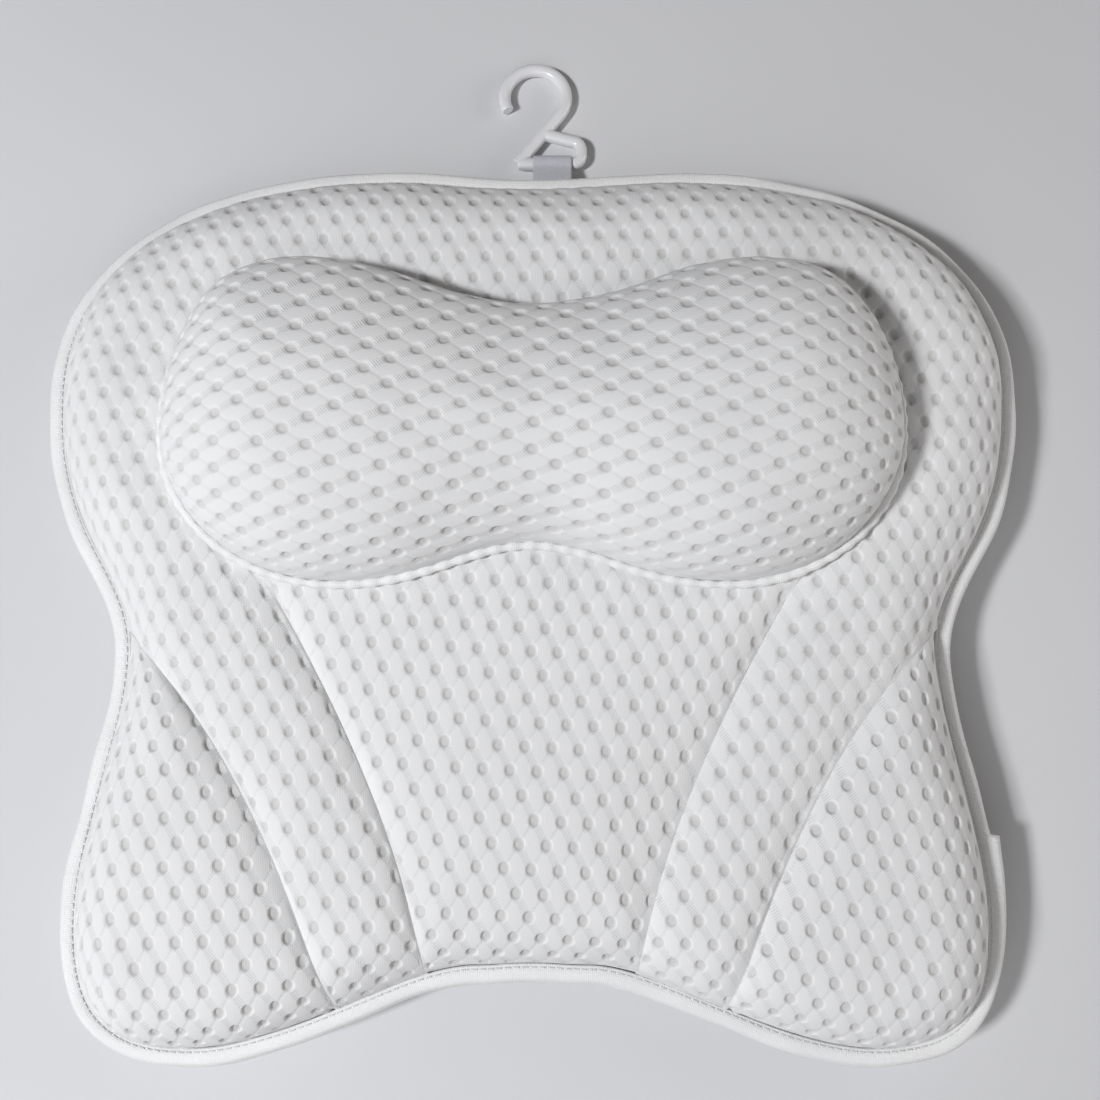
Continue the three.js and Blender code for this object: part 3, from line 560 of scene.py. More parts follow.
def merged(points, faces):
    """A body with points that lie together made one, and the new number of each old point"""
    _, first, number = np.unique(np.round(points / WELD), axis=0, return_index=True, return_inverse=True)
    number = number.ravel()
    faces = [list(dict.fromkeys(number[face].tolist())) for face in faces]
    return points[first], [face for face in faces if len(face) > 2], number


def facing(grid):
    """Directions out of a grid of points"""
    normal = np.cross(np.gradient(grid, axis=1), np.gradient(grid, axis=0))
    normal /= np.maximum(np.linalg.norm(normal, axis=-1, keepdims=True), 1e-12)
    return normal * np.sign(np.sum(normal[..., 2]))


def sewn_rim(shape):
    """Which points of a grid lie round its edge, where it is sewn down"""
    held = np.ones(shape, bool)
    held[1:-1, 1:-1] = False
    return held


def eased(moved, held):
    """Movements with their small wrinkles smoothed out, and none at the held points"""
    for _ in range(3):
        for axis in (0, 1):
            padded = np.concatenate([moved.take([0], axis), moved, moved.take([-1], axis)], axis)
            count = moved.shape[axis]
            before, after = padded.take(range(count), axis), padded.take(range(2, count + 2), axis)
            moved = (before + 2 * moved + after) / 4
        moved = moved * ~held[..., None]
    return moved


def inflated(name, grid, held, base, most):
    """The grid after its cloth has been blown up like a sewn cushion; the held points stay where they are"""
    rows, columns = grid.shape[:2]
    points, faces, number = merged(*cushion_body(grid, base - CLOTH_WALL))
    piece = bpy.data.objects.new(name, mesh_of(name, points, faces))
    bpy.context.scene.collection.objects.link(piece)
    pins = piece.vertex_groups.new(name="sewn")
    sewn = np.concatenate([held.ravel(), np.ones(len(number) - held.size, bool)])
    pins.add(np.unique(number[sewn]).tolist(), 1.0, "REPLACE")
    cloth = piece.modifiers.new("inflate", "CLOTH").settings
    cloth.vertex_group_mass = pins.name
    cloth.use_pressure = True
    cloth.uniform_pressure_force = CLOTH_PRESSURE
    cloth.effector_weights.gravity = 0
    cloth.quality = 6
    cloth.tension_stiffness = cloth.compression_stiffness = CLOTH_STIFFNESS
    cloth.bending_stiffness = CLOTH_BENDING
    for step in range(CLOTH_STEPS):
        bpy.context.scene.frame_set(step + 1)
    shaped = piece.evaluated_get(bpy.context.evaluated_depsgraph_get()).data
    result = np.zeros(len(shaped.vertices) * 3, np.float32)
    shaped.vertices.foreach_get("co", result)
    result = result.reshape(-1, 3)[number[: rows * columns]].reshape(grid.shape).astype(float)
    bpy.context.scene.frame_set(1)
    bpy.data.objects.remove(piece)
    moved = eased(result - grid, held)
    far = np.linalg.norm(moved, axis=-1, keepdims=True)
    most = most[..., None]
    return grid + moved * np.tanh(far / most) * most / np.maximum(far, 1e-9)


def spline_weights(count, times):
    """Weights that lay a smooth line through evenly numbered points, with more steps between them"""
    fine = (count - 1) * times + 1
    spot = np.minimum(np.arange(fine) / times, count - 1 - 1e-9)
    base = spot.astype(int)
    f = spot - base
    terms = [
        (-f + 2 * f**2 - f**3) / 2,
        (2 - 5 * f**2 + 3 * f**3) / 2,
        (f + 4 * f**2 - 3 * f**3) / 2,
        (-(f**2) + f**3) / 2,
    ]
    padded = np.zeros((fine, count + 2))
    for k, term in enumerate(terms):
        padded[np.arange(fine), base + k] += term
    padded[:, 1] += 2 * padded[:, 0]
    padded[:, 2] -= padded[:, 0]
    padded[:, -2] += 2 * padded[:, -1]
    padded[:, -3] -= padded[:, -1]
    return padded[:, 1:-1]


def refined(grid, times):
    """A grid of points or values with more steps both ways"""
    down = spline_weights(grid.shape[0], times)
    across = spline_weights(grid.shape[1], times)
    return np.einsum("ai,bj,ij...->ab...", down, across, grid, optimize=True)


def unevenness(places, size, seed):
    """Slow, repeatable ups and downs between about -1 and 1"""
    total = np.zeros(places.shape[:-1])
    spin = np.random.default_rng(seed)
    for _ in range(7):
        turn, phase, pace = spin.uniform(0, 2 * np.pi), spin.uniform(0, 2 * np.pi), spin.uniform(0.6, 1.7)
        way = places[..., 0] * np.cos(turn) + places[..., 1] * np.sin(turn)
        total += np.sin(2 * np.pi * pace * way / size + phase)
    return total / 4


def cell_places(cloth, mesh):
    """How far cloth points lie from the nearest hole of the knit and from its two families of lines"""
    s = cloth[..., 0] / mesh.pitch + cloth[..., 1] / (2 * mesh.row)
    t = cloth[..., 0] / mesh.pitch - cloth[..., 1] / (2 * mesh.row)
    ds, dt = s - np.round(s), t - np.round(t)
    across = mesh.pitch * (ds + dt) / 2
    up = mesh.row * (ds - dt)
    from_hole = np.hypot(across / (mesh.hole_width / 2), up / (mesh.hole_height / 2))
    return from_hole, ds, dt


def knit_relief(cloth, mesh):
    """Height of the knit over its base: cells that stand up between sunken holes"""
    from_hole, ds, dt = cell_places(cloth, mesh)
    cell = np.sin(np.pi * np.abs(ds)) * np.sin(np.pi * np.abs(dt))
    lines = np.maximum(1 - np.abs(dt) / 0.09, 0) + 0.7 * np.maximum(1 - np.abs(ds) / 0.09, 0)
    hole = smooth((1 + 0.25 * mesh.hole_wall - from_hole) / mesh.hole_wall)
    return (mesh.swell * cell - mesh.groove * lines) * (1 - hole) - mesh.hole_depth * hole


def turned_cloth(cloth, turn, offset):
    """Cloth places turned in the plane of the cloth"""
    cos, sin = math.cos(turn), math.sin(turn)
    u = cloth[..., 0] * cos - cloth[..., 1] * sin
    v = cloth[..., 0] * sin + cloth[..., 1] * cos
    return np.stack([u + offset[0], v + offset[1]], axis=-1)


def paint_cloth(mesh, cloth, open_share):
    """Gives a mesh its cloth places as a UV map, and how open its knit is at each point"""
    count = len(mesh.vertices)
    spare = count - cloth.reshape(-1, 2).shape[0]
    places = np.concatenate([cloth.reshape(-1, 2), np.zeros((spare, 2))])
    corner = np.zeros(len(mesh.loops), np.int32)
    mesh.loops.foreach_get("vertex_index", corner)
    mesh.uv_layers.new(name=UV_NAME).data.foreach_set("uv", places[corner].astype(np.float32).ravel())
    openness = np.concatenate([open_share.ravel(), np.zeros(spare)]).astype(np.float32)
    mesh.attributes.new(OPEN_NAME, "FLOAT", "POINT").data.foreach_set("value", openness)


def add_piece(name, mesh, material, body, replaced=()):
    """Puts a finished mesh into the scene, on its body and in place of its frame nodes"""
    mesh.validate()
    mesh.materials.append(material)
    mesh.polygons.foreach_set("use_smooth", [True] * len(mesh.polygons))
    piece = bpy.data.objects.new(name, mesh)
    bpy.context.scene.collection.objects.link(piece)
    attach(piece, body)
    if replaced:
        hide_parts(*replaced)
    return piece


def mesh_cushion(name, grid, cloth, open_share, base, material, settings, replaced, ceiling=None):
    """A finished air-mesh cushion from its inflated panel, kept under a ceiling where it has one"""
    times = max(1, round(math.sqrt(settings.faces / grid[..., 0].size)))
    grid, cloth = refined(grid, times), refined(cloth, times)
    open_share = np.clip(refined(open_share, times), 0, 1)
    if ceiling:
        grid[..., 2] = np.minimum(grid[..., 2], ceiling(grid[..., :2]))
    relief = knit_relief(cloth, settings.mesh) * open_share
    lumps = 0.5 * MM * unevenness(cloth, 0.055, len(name)) * open_share
    grid = grid + facing(grid) * (relief + lumps)[..., None]
    mesh = mesh_of(name, *cushion_body(grid, base))
    paint_cloth(mesh, cloth, open_share)
    add_piece(name, mesh, material, "pillow", replaced)


# Materials


class Finish:
    """A procedural material while its nodes are being joined"""

    def __init__(self, name):
        self.material = bpy.data.materials.new(name)
        self.material.use_nodes = True
        self.nodes = self.material.node_tree.nodes
        self.links = self.material.node_tree.links
        self.shader = self.nodes["Principled BSDF"]

    def node(self, kind, inputs=(), **settings):
        """A node with its settings, and its inputs set or joined in order"""
        made = self.nodes.new(kind)
        for key, value in settings.items():
            setattr(made, key, value)
        for socket, value in zip(made.inputs, inputs):
            self.put(value, socket)
        return made

    def put(self, value, socket):
        """Joins an output to a socket, or sets the socket's own value"""
        if isinstance(value, bpy.types.NodeSocket):
            self.links.new(value, socket)
        elif value is not None:
            socket.default_value = value

    def math(self, operation, *values):
        """One step of arithmetic"""
        return self.node("ShaderNodeMath", values, operation=operation).outputs[0]

    def step(self, value, low, high, first=0.0, last=1.0):
        """A soft step between two values"""
        inputs = (value, low, high, first, last)
        return self.node("ShaderNodeMapRange", inputs, interpolation_type="SMOOTHSTEP").outputs[0]

    def slanted_wave(self, way, count, side, slant):
        """Waves along one way, a count of them to each unit, that slant as they go to the side"""
        pace = self.math("MULTIPLY", way, 2 * math.pi * count)
        return self.math("SINE", self.math("SUBTRACT", pace, self.math("MULTIPLY", side, slant)))

    def blend(self, part, first, second):
        """A colour between two colours"""
        made = self.node("ShaderNodeMix", data_type="RGBA")
        self.put(part, made.inputs[0])
        for value, socket in ((first, made.inputs[6]), (second, made.inputs[7])):
            self.put((*value, 1) if isinstance(value, (tuple, list)) else value, socket)
        return made.outputs[2]

    def noise(self, vector, scale, detail=2.0):
        """Soft noise at places"""
        made = self.node("ShaderNodeTexNoise")
        self.put(vector, made.inputs["Vector"])
        made.inputs["Scale"].default_value = scale
        made.inputs["Detail"].default_value = detail
        return made.outputs[0]

    def cloth_places(self):
        """The cloth's own places in metres, along and up"""
        vector = self.node("ShaderNodeUVMap", uv_map=UV_NAME).outputs[0]
        parts = self.node("ShaderNodeSeparateXYZ", (vector,))
        return vector, parts.outputs[0], parts.outputs[1]

    def object_places(self):
        """Places on the object itself"""
        return self.node("ShaderNodeTexCoord").outputs["Object"]

    def surface(self, colour_value, height=None, distance=0.001, strength=1.0, **sockets):
        """Sets the shader's sockets, its colour and its relief"""
        self.put(colour_value, self.shader.inputs["Base Color"])
        for key, value in sockets.items():
            self.shader.inputs[key.replace("_", " ").title().replace("Ior", "IOR")].default_value = value
        if height is not None:
            bump = self.node("ShaderNodeBump")
            bump.inputs["Strength"].default_value = strength
            bump.inputs["Distance"].default_value = distance
            self.put(height, bump.inputs["Height"])
            self.put(bump.outputs[0], self.shader.inputs["Normal"])
        return self.material


def air_mesh_finish(name, mesh):
    """White knitted mesh: round holes, ladder-like lines between plump cells, and fine upright threads"""
    f = Finish(name)
    vector, u, v = f.cloth_places()
    opened = f.node("ShaderNodeAttribute", attribute_name=OPEN_NAME).outputs["Fac"]
    along_row = f.math("DIVIDE", u, mesh.pitch)
    over_rows = f.math("DIVIDE", v, 2 * mesh.row)
    s = f.math("ADD", along_row, over_rows)
    t = f.math("SUBTRACT", along_row, over_rows)
    ds = f.math("WRAP", s, 0.5, -0.5)
    dt = f.math("WRAP", t, 0.5, -0.5)
    across = f.math("MULTIPLY", f.math("ADD", ds, dt), mesh.pitch / mesh.hole_width)
    up = f.math("MULTIPLY", f.math("SUBTRACT", ds, dt), 2 * mesh.row / mesh.hole_height)
    from_hole = f.math("SQRT", f.math("ADD", f.math("MULTIPLY", across, across), f.math("MULTIPLY", up, up)))
    # Painted shade: this mask colours each hole darker, for the shade that falls in its depth
    hole = f.math("MULTIPLY", f.step(from_hole, 1.04, 1.04 - 0.7 * mesh.hole_wall), opened)
    rim = f.math("MULTIPLY", f.step(from_hole, 1.12, 0.86), opened)
    near_s = f.step(f.math("ABSOLUTE", ds), 0.21, 0.12)
    near_t = f.step(f.math("ABSOLUTE", dt), 0.10, 0.02)
    rungs = f.slanted_wave(t, 11, ds, 19.0)
    ladder = f.math("MULTIPLY", near_s, f.step(rungs, 0.0, 0.8))
    teeth = f.slanted_wave(s, 9, dt, 9.0)
    comb = f.math("MULTIPLY", near_t, f.step(teeth, -0.9, 0.8, 0.24, 0.6))
    lines = f.math("MULTIPLY", f.math("MAXIMUM", ladder, comb), f.math("SUBTRACT", 1.0, rim))
    sway = f.math("MULTIPLY", f.noise(vector, 260.0), 1.6)
    threads = f.math("SINE", f.math("ADD", f.math("MULTIPLY", u, 2 * math.pi / 0.00062), sway))
    fuzz = f.noise(vector, 1400.0, 3.0)
    cloud = f.noise(vector, 22.0)
    white = f.blend(f.step(cloud, 0.3, 0.7), tuple(c * 0.965 for c in mesh.white), tuple(mesh.white))
    # Painted shade: the knit is coloured darker along the lines, which also sink in the bump
    white = f.blend(f.math("MULTIPLY", lines, 0.85), white, tuple(mesh.line))
    # Painted shade: the knit's white is blended towards the darker hole colour inside each hole
    tone = f.blend(hole, white, tuple(mesh.shade))
    height = f.math("MULTIPLY", lines, -0.32)
    height = f.math("ADD", height, f.math("MULTIPLY", threads, 0.03))
    height = f.math("ADD", height, f.math("MULTIPLY", fuzz, 0.18))
    f.shader.inputs["Subsurface Radius"].default_value = (1.0, 0.95, 0.9)
    return f.surface(
        tone, height, 0.0008, 0.55, roughness=0.9, sheen_weight=0.15, sheen_roughness=0.6, ior=1.4,
        subsurface_weight=0.1, subsurface_scale=0.001,
    )


def knit_tape_finish(name, tape):
    """Smooth white knitted tape with fine ribs across it"""
    f = Finish(name)
    vector, u, v = f.cloth_places()
    ribs = f.math("SINE", f.math("MULTIPLY", u, 2 * math.pi / 0.0007))
    rows = f.math("SINE", f.math("MULTIPLY", v, 2 * math.pi / 0.0009))
    fuzz = f.noise(vector, 900.0, 3.0)
    cloud = f.noise(vector, 45.0)
    white = f.blend(f.step(cloud, 0.3, 0.7), tuple(c * 0.95 for c in tape.white), tuple(tape.white))
    height = f.math("ADD", f.math("MULTIPLY", ribs, 0.25), f.math("MULTIPLY", rows, 0.15))
    height = f.math("ADD", height, f.math("MULTIPLY", fuzz, 0.9))
    return f.surface(white, height, 0.0003, 0.6, roughness=0.85, sheen_weight=0.2, sheen_roughness=0.5)


def thread_finish(name, tone):
    """Twisted sewing thread"""
    f = Finish(name)
    vector, u, v = f.cloth_places()
    twist = f.math("SINE", f.math("ADD", f.math("MULTIPLY", u, 5200.0), f.math("MULTIPLY", v, 9000.0)))
    # Painted shade: the thread is coloured darker in the low grooves of its twist, where the bump sinks
    shade = f.blend(f.step(twist, -0.8, 0.8), tuple(c * 0.86 for c in tone), tuple(tone))
    return f.surface(shade, twist, 0.0001, 0.5, roughness=0.7, sheen_weight=0.1)


def ribbon_finish(name, tone):
    """Pale grey satin ribbon with a close weave and firm edges"""
    f = Finish(name)
    vector, u, v = f.cloth_places()
    weft = f.math("SINE", f.math("MULTIPLY", v, 2 * math.pi / 0.0006))
    warp = f.math("SINE", f.math("MULTIPLY", u, 2 * math.pi / 0.0005))
    weave = f.math("MULTIPLY", weft, warp)
    fuzz = f.noise(vector, 700.0, 3.0)
    # Painted shade and painted light: the ribbon is coloured darker in the weave's dips and paler on the
    # raised fuzz, both following the bump
    cloth = f.blend(f.step(weave, -0.7, 0.7), tuple(c * 0.88 for c in tone), tuple(tone))
    cloth = f.blend(f.step(fuzz, 0.35, 0.7, 0.0, 0.35), cloth, tuple(min(c * 1.18, 1) for c in tone))
    return f.surface(cloth, f.math("ADD", weave, fuzz), 0.0002, 0.5, roughness=0.6, sheen_weight=0.25)


def moulded_finish(name, tone, roughness):
    """Glossy white moulding with faint flow marks"""
    f = Finish(name)
    places = f.object_places()
    flow = f.noise(places, 90.0, 2.0)
    grain = f.noise(places, 1500.0, 2.0)
    plastic = f.blend(f.step(flow, 0.35, 0.65), tuple(c * 0.97 for c in tone), tuple(tone))
    height = f.math("ADD", f.math("MULTIPLY", flow, 0.6), f.math("MULTIPLY", grain, 0.12))
    return f.surface(
        plastic, height, 0.0002, 0.35, roughness=roughness, ior=1.49, coat_weight=0.25, coat_roughness=0.12
    )


def vinyl_finish(name, tone):
    """Clear soft vinyl, a little cloudy"""
    f = Finish(name)
    places = f.object_places()
    haze = f.noise(places, 160.0, 2.0)
    vinyl = f.blend(f.step(haze, 0.3, 0.7), tuple(c * 0.93 for c in tone), tuple(tone))
    return f.surface(
        vinyl, haze, 0.0002, 0.2, roughness=0.16, ior=1.52, transmission_weight=0.72, specular_ior_level=0.5
    )


# Turned and swept pieces


def turned(name, profile, middle, sides=72):
    """A closed turned mesh from a closed profile of (radius, height); points on the axis are shared"""
    turn = np.linspace(0, 2 * np.pi, sides, endpoint=False)
    points, rings = [], []
    for radius, height in profile:
        if radius < 1e-6:
            rings.append([len(points)] * sides)
            points.append((middle[0], middle[1], height))
        else:
            rings.append(list(range(len(points), len(points) + sides)))
            points += [(middle[0] + radius * np.cos(a), middle[1] + radius * np.sin(a), height) for a in turn]
    pairs = list(zip(rings, rings[1:]))
    if profile[0][0] > 1e-6:
        pairs.append((rings[-1], rings[0]))
    faces = []
    for low, high in pairs:
        for k in range(sides):
            m = (k + 1) % sides
            face = list(dict.fromkeys([low[k], low[m], high[m], high[k]]))
            if len(face) > 2:
                faces.append(face)
    return mesh_of(name, points, faces)


def rounded(profile, radius, steps=5, loop=False):
    """A profile with its inner corners rounded off"""
    result = []
    count = len(profile)
    for k, corner in enumerate(np.array(profile, float)):
        if not loop and k in (0, count - 1):
            result.append(tuple(corner))
            continue
        before, after = np.array(profile[k - 1], float), np.array(profile[(k + 1) % count], float)
        into, out = before - corner, after - corner
        cut = min(radius, 0.45 * np.linalg.norm(into), 0.45 * np.linalg.norm(out))
        start = corner + into / np.linalg.norm(into) * cut
        end = corner + out / np.linalg.norm(out) * cut
        for t in np.linspace(0, 1, steps + 1):
            result.append(tuple((1 - t) ** 2 * start + 2 * (1 - t) * t * corner + t * t * end))
    return result


def swept_ring(name, loop, sections):
    """A closed ring: one section of (outward, up) points at each point of a loop, with its cloth places"""
    out = outward(loop)
    stations, count = sections.shape[:2]
    plan = loop[:, None] + sections[..., :1] * out[:, None]
    points = np.concatenate([plan, sections[..., 1:]], axis=-1)
    index = np.arange(stations * count).reshape(stations, count)
    ahead = np.roll(index, -1, axis=0)
    quads = np.stack([index, np.roll(index, -1, axis=1), np.roll(ahead, -1, axis=1), ahead], axis=-1)
    mesh = mesh_of(name, points.reshape(-1, 3), quads.reshape(-1, 4).tolist())
    around = along(closed(loop))
    girth = np.concatenate([[0], np.cumsum(np.linalg.norm(np.diff(sections[0], axis=0), axis=1))])
    cloth = np.stack(np.broadcast_arrays(around[:-1, None], girth[None]), axis=-1)
    paint_cloth(mesh, cloth, np.zeros(cloth.shape[:2]))
    places = mesh.uv_layers[UV_NAME].data
    for face in mesh.polygons[-count:]:
        for corner in face.loop_indices:
            if mesh.loops[corner].vertex_index < count:
                places[corner].uv.x = around[-1]
    return mesh


def bar_between(path, section):
    """A capped bar: a section of (side, up) points carried along a path that lies flat"""
    way = np.gradient(path, axis=0)
    way /= np.linalg.norm(way, axis=1, keepdims=True)
    side = np.cross(way, [0, 0, 1])
    side /= np.linalg.norm(side, axis=1, keepdims=True)
    up = np.cross(side, way)
    points = path[:, None] + section[None, :, :1] * side[:, None] + section[None, :, 1:] * up[:, None]
    stations, count = points.shape[:2]
    index = np.arange(stations * count).reshape(stations, count)
    quads = np.stack(
        [index[:-1], index[1:], np.roll(index[1:], -1, axis=1), np.roll(index[:-1], -1, axis=1)], axis=-1
    )
    faces = quads.reshape(-1, 4).tolist() + [index[0].tolist(), index[-1][::-1].tolist()]
    return points.reshape(-1, 3), faces


def joined(parts):
    """Points and faces of several bodies as one list of each"""
    points, faces, start = [], [], 0
    for some, theirs in parts:
        points.append(some)
        faces += [[index + start for index in face] for face in theirs]
        start += len(some)
    return np.concatenate(points), faces


class SewFrontPanels(bpy.types.Operator):
    """Sews the four cushioned panels of the pad's front"""

    bl_idname = "bath_pillow.sew_front_panels"
    bl_label = "Sew front panels"

    def execute(self, context):
        settings = context.scene.bath_pillow
        pad = settings.pad
        curves = PlanCurves(settings)
        material = air_mesh_finish("white air mesh", settings.mesh)
        wing = wing_plan(curves, pad)
        panels = [
            ("yoke", yoke_plan(curves, pad), -1.0, (0.0011, 0.0023)),
            ("centre", centre_plan(curves, pad), 3.4, (0.0034, 0.0008)),
            ("left_wing", (wing * np.array([-1, 1]))[:, ::-1], -2.0, (0.0027, 0.0041)),
            ("right_wing", wing, 6.0, (0.0006, 0.0019)),
        ]
        for name, plan, turn, offset in panels:
            self.sew(name, plan, math.radians(turn), offset, curves, settings, material)
        return {"FINISHED"}

    def sew(self, name, plan, turn, offset, curves, settings, material):
        """One panel, from its plan to its finished cushion"""
        pad = settings.pad
        form = FrontForm(plan, curves, settings)
        height = pad.flange + form.rise * pad.start
        grid = np.concatenate([plan + curves.shift, height[..., None]], axis=-1)
        held = sewn_rim(height.shape)
        held |= form.from_edge < pad.flange_width
        held |= form.from_head < pad.seat_edge
        held |= (np.linalg.norm(plan[:, -1] - plan[:, 0], axis=-1) < 2 * pad.flange_width)[:, None]
        inner = smooth((form.from_edge - pad.flange_width) / pad.rim_run)
        most = pad.puff * (LEAST_PUFF + (1 - LEAST_PUFF) * inner)
        grid = inflated(name, grid, held, pad.base, most)
        opened = smooth((form.from_edge - pad.flange_width) / (4 * MM))
        opened *= smooth((form.from_seam - 0.4 * MM) / (1.8 * MM))
        opened *= smooth((form.from_head - 1 * MM) / (4 * MM))
        cloth = turned_cloth(form.cloth, turn, offset)
        nodes = (f"{name}_cover", f"{name}_fill")
        mesh_cushion(
            f"{name}_cushion", grid, cloth, opened, pad.base, material, settings, nodes,
            lambda points: self.ceiling(points - curves.shift, curves, pad),
        )

    def ceiling(self, points, curves, pad):
        """How high the cloth may stand, so that none of it rises through the tape"""
        depth = nearest(points, closed(curves.outline))[0] - pad.flange_width
        rise = pad.crown * full_swell((depth + 1.2 * MM) / pad.rim_run)
        return pad.flange + 0.3 * MM + rise + pad.puff * smooth((depth + 1.2 * MM) / (6 * MM))


class SewHeadrest(bpy.types.Operator):
    """Sews the raised headrest and the cord in its seam"""

    bl_idname = "bath_pillow.sew_headrest"
    bl_label = "Sew headrest"

    def execute(self, context):
        settings = context.scene.bath_pillow
        head = settings.headrest
        curves = PlanCurves(settings)
        plan = headrest_plan(curves)
        depth, edge_place = nearest(plan, closed(curves.headrest))
        saddle = head.saddle * np.exp(-((plan[..., 0] / head.saddle_reach) ** 2))
        rise = swell(depth / head.run)
        height = head.floor + (head.crown - saddle) * rise
        out = edge_place - plan
        out /= np.maximum(np.linalg.norm(out, axis=-1, keepdims=True), 1e-9)
        bulge = head.bulge * np.abs(out[..., 0]) + head.top_bulge * np.clip(out[..., 1], 0, 1) ** 3
        bulge = bulge * np.sin(np.pi * np.clip(rise / 0.9, 0, 1))
        grid = np.concatenate([plan + bulge[..., None] * out + curves.shift, height[..., None]], axis=-1)
        most = head.puff * (LEAST_PUFF + (1 - LEAST_PUFF) * smooth(depth / head.run))
        grid = inflated("headrest", grid, sewn_rim(height.shape), head.floor, most)
        growth = wrap_growth(depth, head.run, head.crown) * (depth < head.run)
        cloth = turned_cloth(plan + out * growth[..., None], math.radians(94), (0.0015, 0.0022))
        opened = smooth((depth - 0.3 * MM) / (3.5 * MM))
        material = air_mesh_finish("headrest air mesh", settings.mesh)
        nodes = ("headrest_cover", "headrest_fill")
        mesh_cushion("headrest_cushion", grid, cloth, opened, head.floor, material, settings, nodes)
        self.cord(curves, settings)
        return {"FINISHED"}

    def cord(self, curves, settings):
        """The corded seam round the headrest's foot"""
        head = settings.headrest
        loop = closed(curves.headrest)
        loop = resampled(loop, int(along(loop)[-1] / (0.9 * MM)))[:-1]
        radius = head.cord / 2
        travelled = along(closed(loop))[:-1]
        turn = np.linspace(0, 2 * np.pi, 14, endpoint=False)
        tuck = 1 + 0.14 * np.sin(travelled / (1.1 * MM)) + 0.10 * unevenness(loop, 0.03, 5)
        reach = 0.8 * radius + radius * tuck[:, None] * np.cos(turn)[None]
        up = head.floor + radius + radius * tuck[:, None] * np.sin(turn)[None]
        mesh = swept_ring("headrest_cord", loop + curves.shift, np.stack([reach, up], axis=-1))
        material = knit_tape_finish("headrest cord", settings.tape)
        add_piece("headrest_cord", mesh, material, "pillow", ("headrest_welt",))


TAPE_ROUND = 3.0 * MM
TAPE_LIP = 4.8 * MM
STITCH_INSET = 1.35 * MM
LAP_PLACE = np.array([0.15, -0.097])
LAP_LENGTH = 60 * MM
LAP_WIDTH = 3.4 * MM
LAP_RISE = 0.45 * MM


class BindEdge(bpy.types.Operator):
    """Folds the tape round the edge and stitches it down"""

    bl_idname = "bath_pillow.bind_edge"
    bl_label = "Bind the edge"

    def execute(self, context):
        settings = context.scene.bath_pillow
        tape = settings.tape
        curves = PlanCurves(settings)
        loop = closed(curves.outline)
        loop = resampled(loop, int(along(loop)[-1] / (1.3 * MM)))[:-1]
        travelled = along(closed(loop))[:-1]
        wave = tape.wave * unevenness(loop, 0.05, 11)
        lap = self.lap_step(loop, travelled)
        section = np.array(self.section(tape))
        sections = np.repeat(section[None], len(loop), axis=0)
        middle = (tape.top + tape.bottom) / 2
        over = sections[..., 1] > middle
        outer = np.clip(1 + section[:, 0] / tape.width, 0, 1)[None]
        sections[..., 0] += wave[:, None] * (0.3 + 0.7 * outer) + LAP_WIDTH * lap[:, None] * outer
        ripple = 0.096 * MM * np.sin(2 * np.pi * travelled / tape.stitch)
        sections[..., 1] += over * (0.35 * wave + LAP_RISE * lap + ripple)[:, None]
        mesh = swept_ring("edge_tape", loop + curves.shift, sections)
        material = knit_tape_finish("edge tape", tape)
        add_piece("edge_tape", mesh, material, "pillow", ("edge_binding",))
        self.stitches(loop + curves.shift, travelled, wave, settings)
        return {"FINISHED"}

    def section(self, tape):
        """The folded tape's section as (outward, up): over the edge, round it and back under it"""
        inner, thick, half = -tape.width, tape.thickness, (tape.top - tape.bottom) / 2
        middle = (tape.top + tape.bottom) / 2
        turn = np.linspace(np.pi / 2, -np.pi / 2, 15)
        outer_run = [(TAPE_ROUND * (np.cos(a) - 1), middle + half * np.sin(a)) for a in turn]
        over = [(inner + x, tape.top + dip) for x, dip in [
            (0, -TAPE_LIP), (0, -1.3 * MM), (0.4 * MM, -0.5 * MM),
            (STITCH_INSET, -0.6 * MM), (1.9 * MM, -0.1 * MM), (2.8 * MM, 0.15 * MM),
        ]]
        under = [(inner + 1.6 * MM, tape.bottom), (inner, tape.bottom + 0.2 * MM)]
        back = half - thick
        fold = TAPE_ROUND - thick
        lining = [(fold * np.cos(a) - TAPE_ROUND, middle + back * np.sin(a)) for a in turn[::-1]]
        start = [(inner, tape.bottom + thick)]
        end = [(inner + 1.2 * MM, tape.top - thick - 0.5 * MM), (inner + 0.5 * MM, tape.top - TAPE_LIP)]
        return over + outer_run + under + start + lining + end

    def lap_step(self, loop, travelled):
        """1 where the tape's end laps over its start on the right wing, fading out along the tape"""
        right = np.flatnonzero(loop[:, 0] > LAP_PLACE[0])
        start = right[np.argmin(np.abs(loop[right, 1] - LAP_PLACE[1]))]
        past = (travelled - travelled[start]) / LAP_LENGTH
        return np.where((past >= 0) & (past < 1), 0.55 * (1 - smooth(past)) + 0.45 * np.exp(-past * 8), 0)

    def stitches(self, loop, travelled, wave, settings):
        """Short stitches in a groove near the tape's inner edge"""
        tape = settings.tape
        count = int(travelled[-1] / tape.stitch)
        path = loop + (wave[:, None] * 0.3 - tape.width + STITCH_INSET) * outward(loop)
        turn = np.linspace(0, 2 * np.pi, 8, endpoint=False)
        round_section = 0.24 * MM * np.stack([np.cos(turn), np.sin(turn)], axis=1)
        level = tape.top - 0.42 * MM
        parts = []
        for k in range(count):
            stops = (k + np.linspace(0.14, 0.86, 7)) * tape.stitch
            spots = np.stack([np.interp(stops, travelled, path[:, j]) for j in range(2)], axis=1)
            rise = level + 0.16 * MM * np.sin(np.linspace(0, np.pi, 7))
            parts.append(bar_between(np.concatenate([spots, rise[:, None]], axis=1), round_section))
        points, faces = joined(parts)
        mesh = mesh_of("edge_stitching", points, faces)
        paint_cloth(mesh, points[:, :2], np.zeros(len(points)))
        add_piece("edge_stitching", mesh, thread_finish("sewing thread", tape.thread), "pillow")


